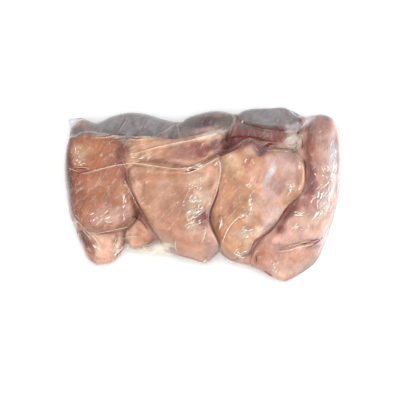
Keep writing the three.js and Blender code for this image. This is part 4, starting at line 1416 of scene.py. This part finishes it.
def colour_setting(name, hex_colour, description):
    """A colour that the user can change, from an sRGB hex value."""
    return bpy.props.FloatVectorProperty(name=name, description=description, default=linear(hex_colour),
                                         subtype="COLOR", size=3, min=0, max=1)


def share_setting(name, default, description):
    """A share from 0 to 1 that the user can change."""
    return bpy.props.FloatProperty(name=name, description=description, default=default, min=0, max=1,
                                   subtype="FACTOR")


def power_setting(name, default, description):
    """A light's power in watts that the user can change."""
    return bpy.props.FloatProperty(name=name, description=description, default=default, min=0, unit="POWER")


class VacuumPackSettings(bpy.types.PropertyGroup):
    """Finishes of the pack, and the light on it."""

    # grey cloud over the far ends: partly doubled film, partly painted shade and grey reflection of the far
    # slopes
    grey_cloud_and_shade_colour: colour_setting("Cloudy film", "#868181", "Film that lies doubled over the far ends")
    # white film, and the painted sheen of the side light down the right slope
    frost_and_sheen_colour: colour_setting("White film", "#dfe0e6", "Film that stands off the meat, or is drawn")
    # milky folded film, the painted glints of the pucker strokes, and the painted light of clouds over
    # shaded steps
    fold_and_highlight_colour: colour_setting("Folded film", "#fff3e2", "Film bunched in narrow folds")
    # painted shade in the crevices and gaps that the film spans, in the reddish tint of juice
    stain_and_shade_colour: colour_setting("Stained film", "#8d5148", "Film with meat juice pooled under it")
    # dark red of the juice runs, and of the painted shade lines in the crevices and beside folds
    juice_and_shade_colour: colour_setting("Meat juice", "#86201e", "Juice that has run into the folds")
    floor_colour: colour_setting("Floor", "#fbfbfa", "Plain pale floor under the pack")
    scatter: share_setting("Scatter", 0.22, "Share of light that scatters in the meat")
    film_roughness: share_setting("Film roughness", 0.13, "Blur of the crinkled film's reflections")
    key_light: power_setting("Key light", 8.0, "Power of the large soft light")
    glint_light: power_setting("Glint light", 1.6, "Power of the small light that makes glints")
    sky_light: bpy.props.FloatProperty(name="Surrounding light", default=1.0, min=0,
                                       description="Strength of the even light all round")


class PACK_OT_fillets(bpy.types.Operator):
    """Builds the ten raw fillets, as they lie in two layers"""

    bl_idname = "vacuum_pack.fillets"
    bl_label = "Fillets"

    def execute(self, context):
        material = raw_meat(context.scene.vacuum_pack)
        for fillet in heap()[0]:
            points, quads, triangles = fillet_mesh(fillet)
            piece = new_piece("fillet_" + fillet["name"], points, quads, triangles, material)
            store(piece, "meat_colour_and_painted_light", meat_colour_and_painted_light(fillet, points))
            turn = math.radians(fillet["grain"])
            c, s = math.cos(turn), math.sin(turn)
            x, y = unrolled(points)
            store_uv(piece, "grain", np.column_stack([x * c + y * s, y * c - x * s]))
        return {"FINISHED"}


class PACK_OT_film(bpy.types.Operator):
    """Builds the clear film round the fillets"""

    bl_idname = "vacuum_pack.film"
    bl_label = "Film"

    def execute(self, context):
        settings = context.scene.vacuum_pack
        points, quads = film_mesh()
        piece = new_piece("pouch_film", points, quads, (), clear_film(settings))
        cloud, tint = film_clouds(settings, points)
        store(piece, "cloud", cloud)
        store(piece, "cloud_tint", tint)
        store(piece, "pucker", film_puckers(points))
        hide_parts("vacuum_pack")
        return {"FINISHED"}


class PACK_OT_folds(bpy.types.Operator):
    """Builds the narrow milky folds of the film"""

    bl_idname = "vacuum_pack.folds"
    bl_label = "Folds of the film"

    def execute(self, context):
        points, quads, triangles, milk = film_folds_and_glints()
        piece = new_piece("film_folds_and_glints", points, quads, triangles, folded_film_and_glints(context.scene.vacuum_pack))
        store(piece, "milk", milk)
        return {"FINISHED"}


class PACK_OT_juice(bpy.types.Operator):
    """Builds the runs and spots of meat juice under the film, and the dark runs of painted shade"""

    bl_idname = "vacuum_pack.juice"
    bl_label = "Meat juice"

    def execute(self, context):
        points, quads, triangles, stain_and_shade = juice_and_shade_runs()
        piece = new_piece("juice_and_shade_runs", points, quads, triangles, juice_and_painted_shade(context.scene.vacuum_pack))
        store(piece, "stain_and_shade", stain_and_shade)
        return {"FINISHED"}


def area_light(name, place, aim, size, power, colour=(1, 1, 1)):
    """A square soft light that faces a place."""
    lamp = bpy.data.lights.new(name, "AREA")
    lamp.size = size
    lamp.energy = power
    lamp.color = colour
    made = bpy.data.objects.new(name, lamp)
    made.location = place
    direction = np.array(place) - np.array(aim)
    pitch = math.atan2(math.hypot(direction[0], direction[1]), direction[2])
    made.rotation_euler = (pitch, 0, math.atan2(direction[1], direction[0]) + math.pi / 2)
    bpy.context.scene.collection.objects.link(made)


class PACK_OT_stage(bpy.types.Operator):
    """Sets the pale floor, the soft lights, the camera and the surrounding light"""

    bl_idname = "vacuum_pack.stage"
    bl_label = "Stage"

    def execute(self, context):
        scene, settings = context.scene, context.scene.vacuum_pack
        half, level = 4.0, -0.0003  # just under the film, so that the two don't share a plane
        corners = [(x * half, y * half, level) for x, y in ((-1, -1), (1, -1), (1, 1), (-1, 1))]
        mesh = bpy.data.meshes.new("floor")
        mesh.from_pydata(corners, [], [(0, 1, 2, 3)])
        floor = bpy.data.objects.new("floor", mesh)
        scene.collection.objects.link(floor)
        material, tree = new_material("matt_floor")
        look = {"Base Color": (*settings.floor_colour, 1), "Roughness": 0.8, "Specular IOR Level": 0.1}
        paint = node(tree, "ShaderNodeBsdfPrincipled", look)
        finish_material(tree, paint.outputs["BSDF"])
        mesh.materials.append(material)

        aim = (0, 0, 0.03)
        area_light("key", (-0.3, -0.8, 1.3), aim, 1.0, settings.key_light, (1, 0.985, 0.96))
        area_light("side", (1.1, 0.05, 0.5), aim, 0.6, 0.8 * settings.key_light, (0.93, 0.96, 1))
        area_light("glint", (0.04, 0.34, 1.5), aim, 0.1, settings.glint_light)

        world = bpy.data.worlds.new("studio")
        world.use_nodes = True
        world.node_tree.nodes.clear()
        sky = node(world.node_tree, "ShaderNodeBackground",
                   {"Color": (0.98, 0.985, 1, 1), "Strength": settings.sky_light})
        node(world.node_tree, "ShaderNodeOutputWorld", links={"Surface": sky.outputs["Background"]})
        scene.world = world
        scene.view_settings.view_transform = "Standard"

        lens = bpy.data.cameras.new("camera")
        lens.lens, lens.sensor_width = LENS, SENSOR
        camera = bpy.data.objects.new("camera", lens)
        camera.location = CAMERA_PLACE * MM
        camera.rotation_euler = (math.pi / 2 - ELEVATION, 0, 0)
        scene.collection.objects.link(camera)
        scene.camera = camera
        return {"FINISHED"}


class PACK_PT_panel(bpy.types.Panel):
    """Lists the pack's operators and settings in the sidebar"""

    bl_idname = "PACK_PT_panel"
    bl_label = "Vacuum pack"
    bl_space_type = "VIEW_3D"
    bl_region_type = "UI"
    bl_category = "Vacuum pack"

    def draw(self, context):
        for operator in OPERATORS:
            self.layout.operator(operator.bl_idname)
        for name in VacuumPackSettings.__annotations__:
            self.layout.prop(context.scene.vacuum_pack, name)


OPERATORS = (PACK_OT_stage, PACK_OT_fillets, PACK_OT_juice, PACK_OT_film, PACK_OT_folds)
CLASSES = (VacuumPackSettings, *OPERATORS, PACK_PT_panel)


def register():
    for item in CLASSES:
        bpy.utils.register_class(item)
    bpy.types.Scene.vacuum_pack = bpy.props.PointerProperty(type=VacuumPackSettings)


def unregister():
    del bpy.types.Scene.vacuum_pack
    for item in reversed(CLASSES):
        bpy.utils.unregister_class(item)


def main():
    register()
    bpy.ops.vacuum_pack.stage()
    bpy.ops.vacuum_pack.fillets()
    bpy.ops.vacuum_pack.juice()
    bpy.ops.vacuum_pack.film()
    bpy.ops.vacuum_pack.folds()


if __name__ == "__main__":
    main()
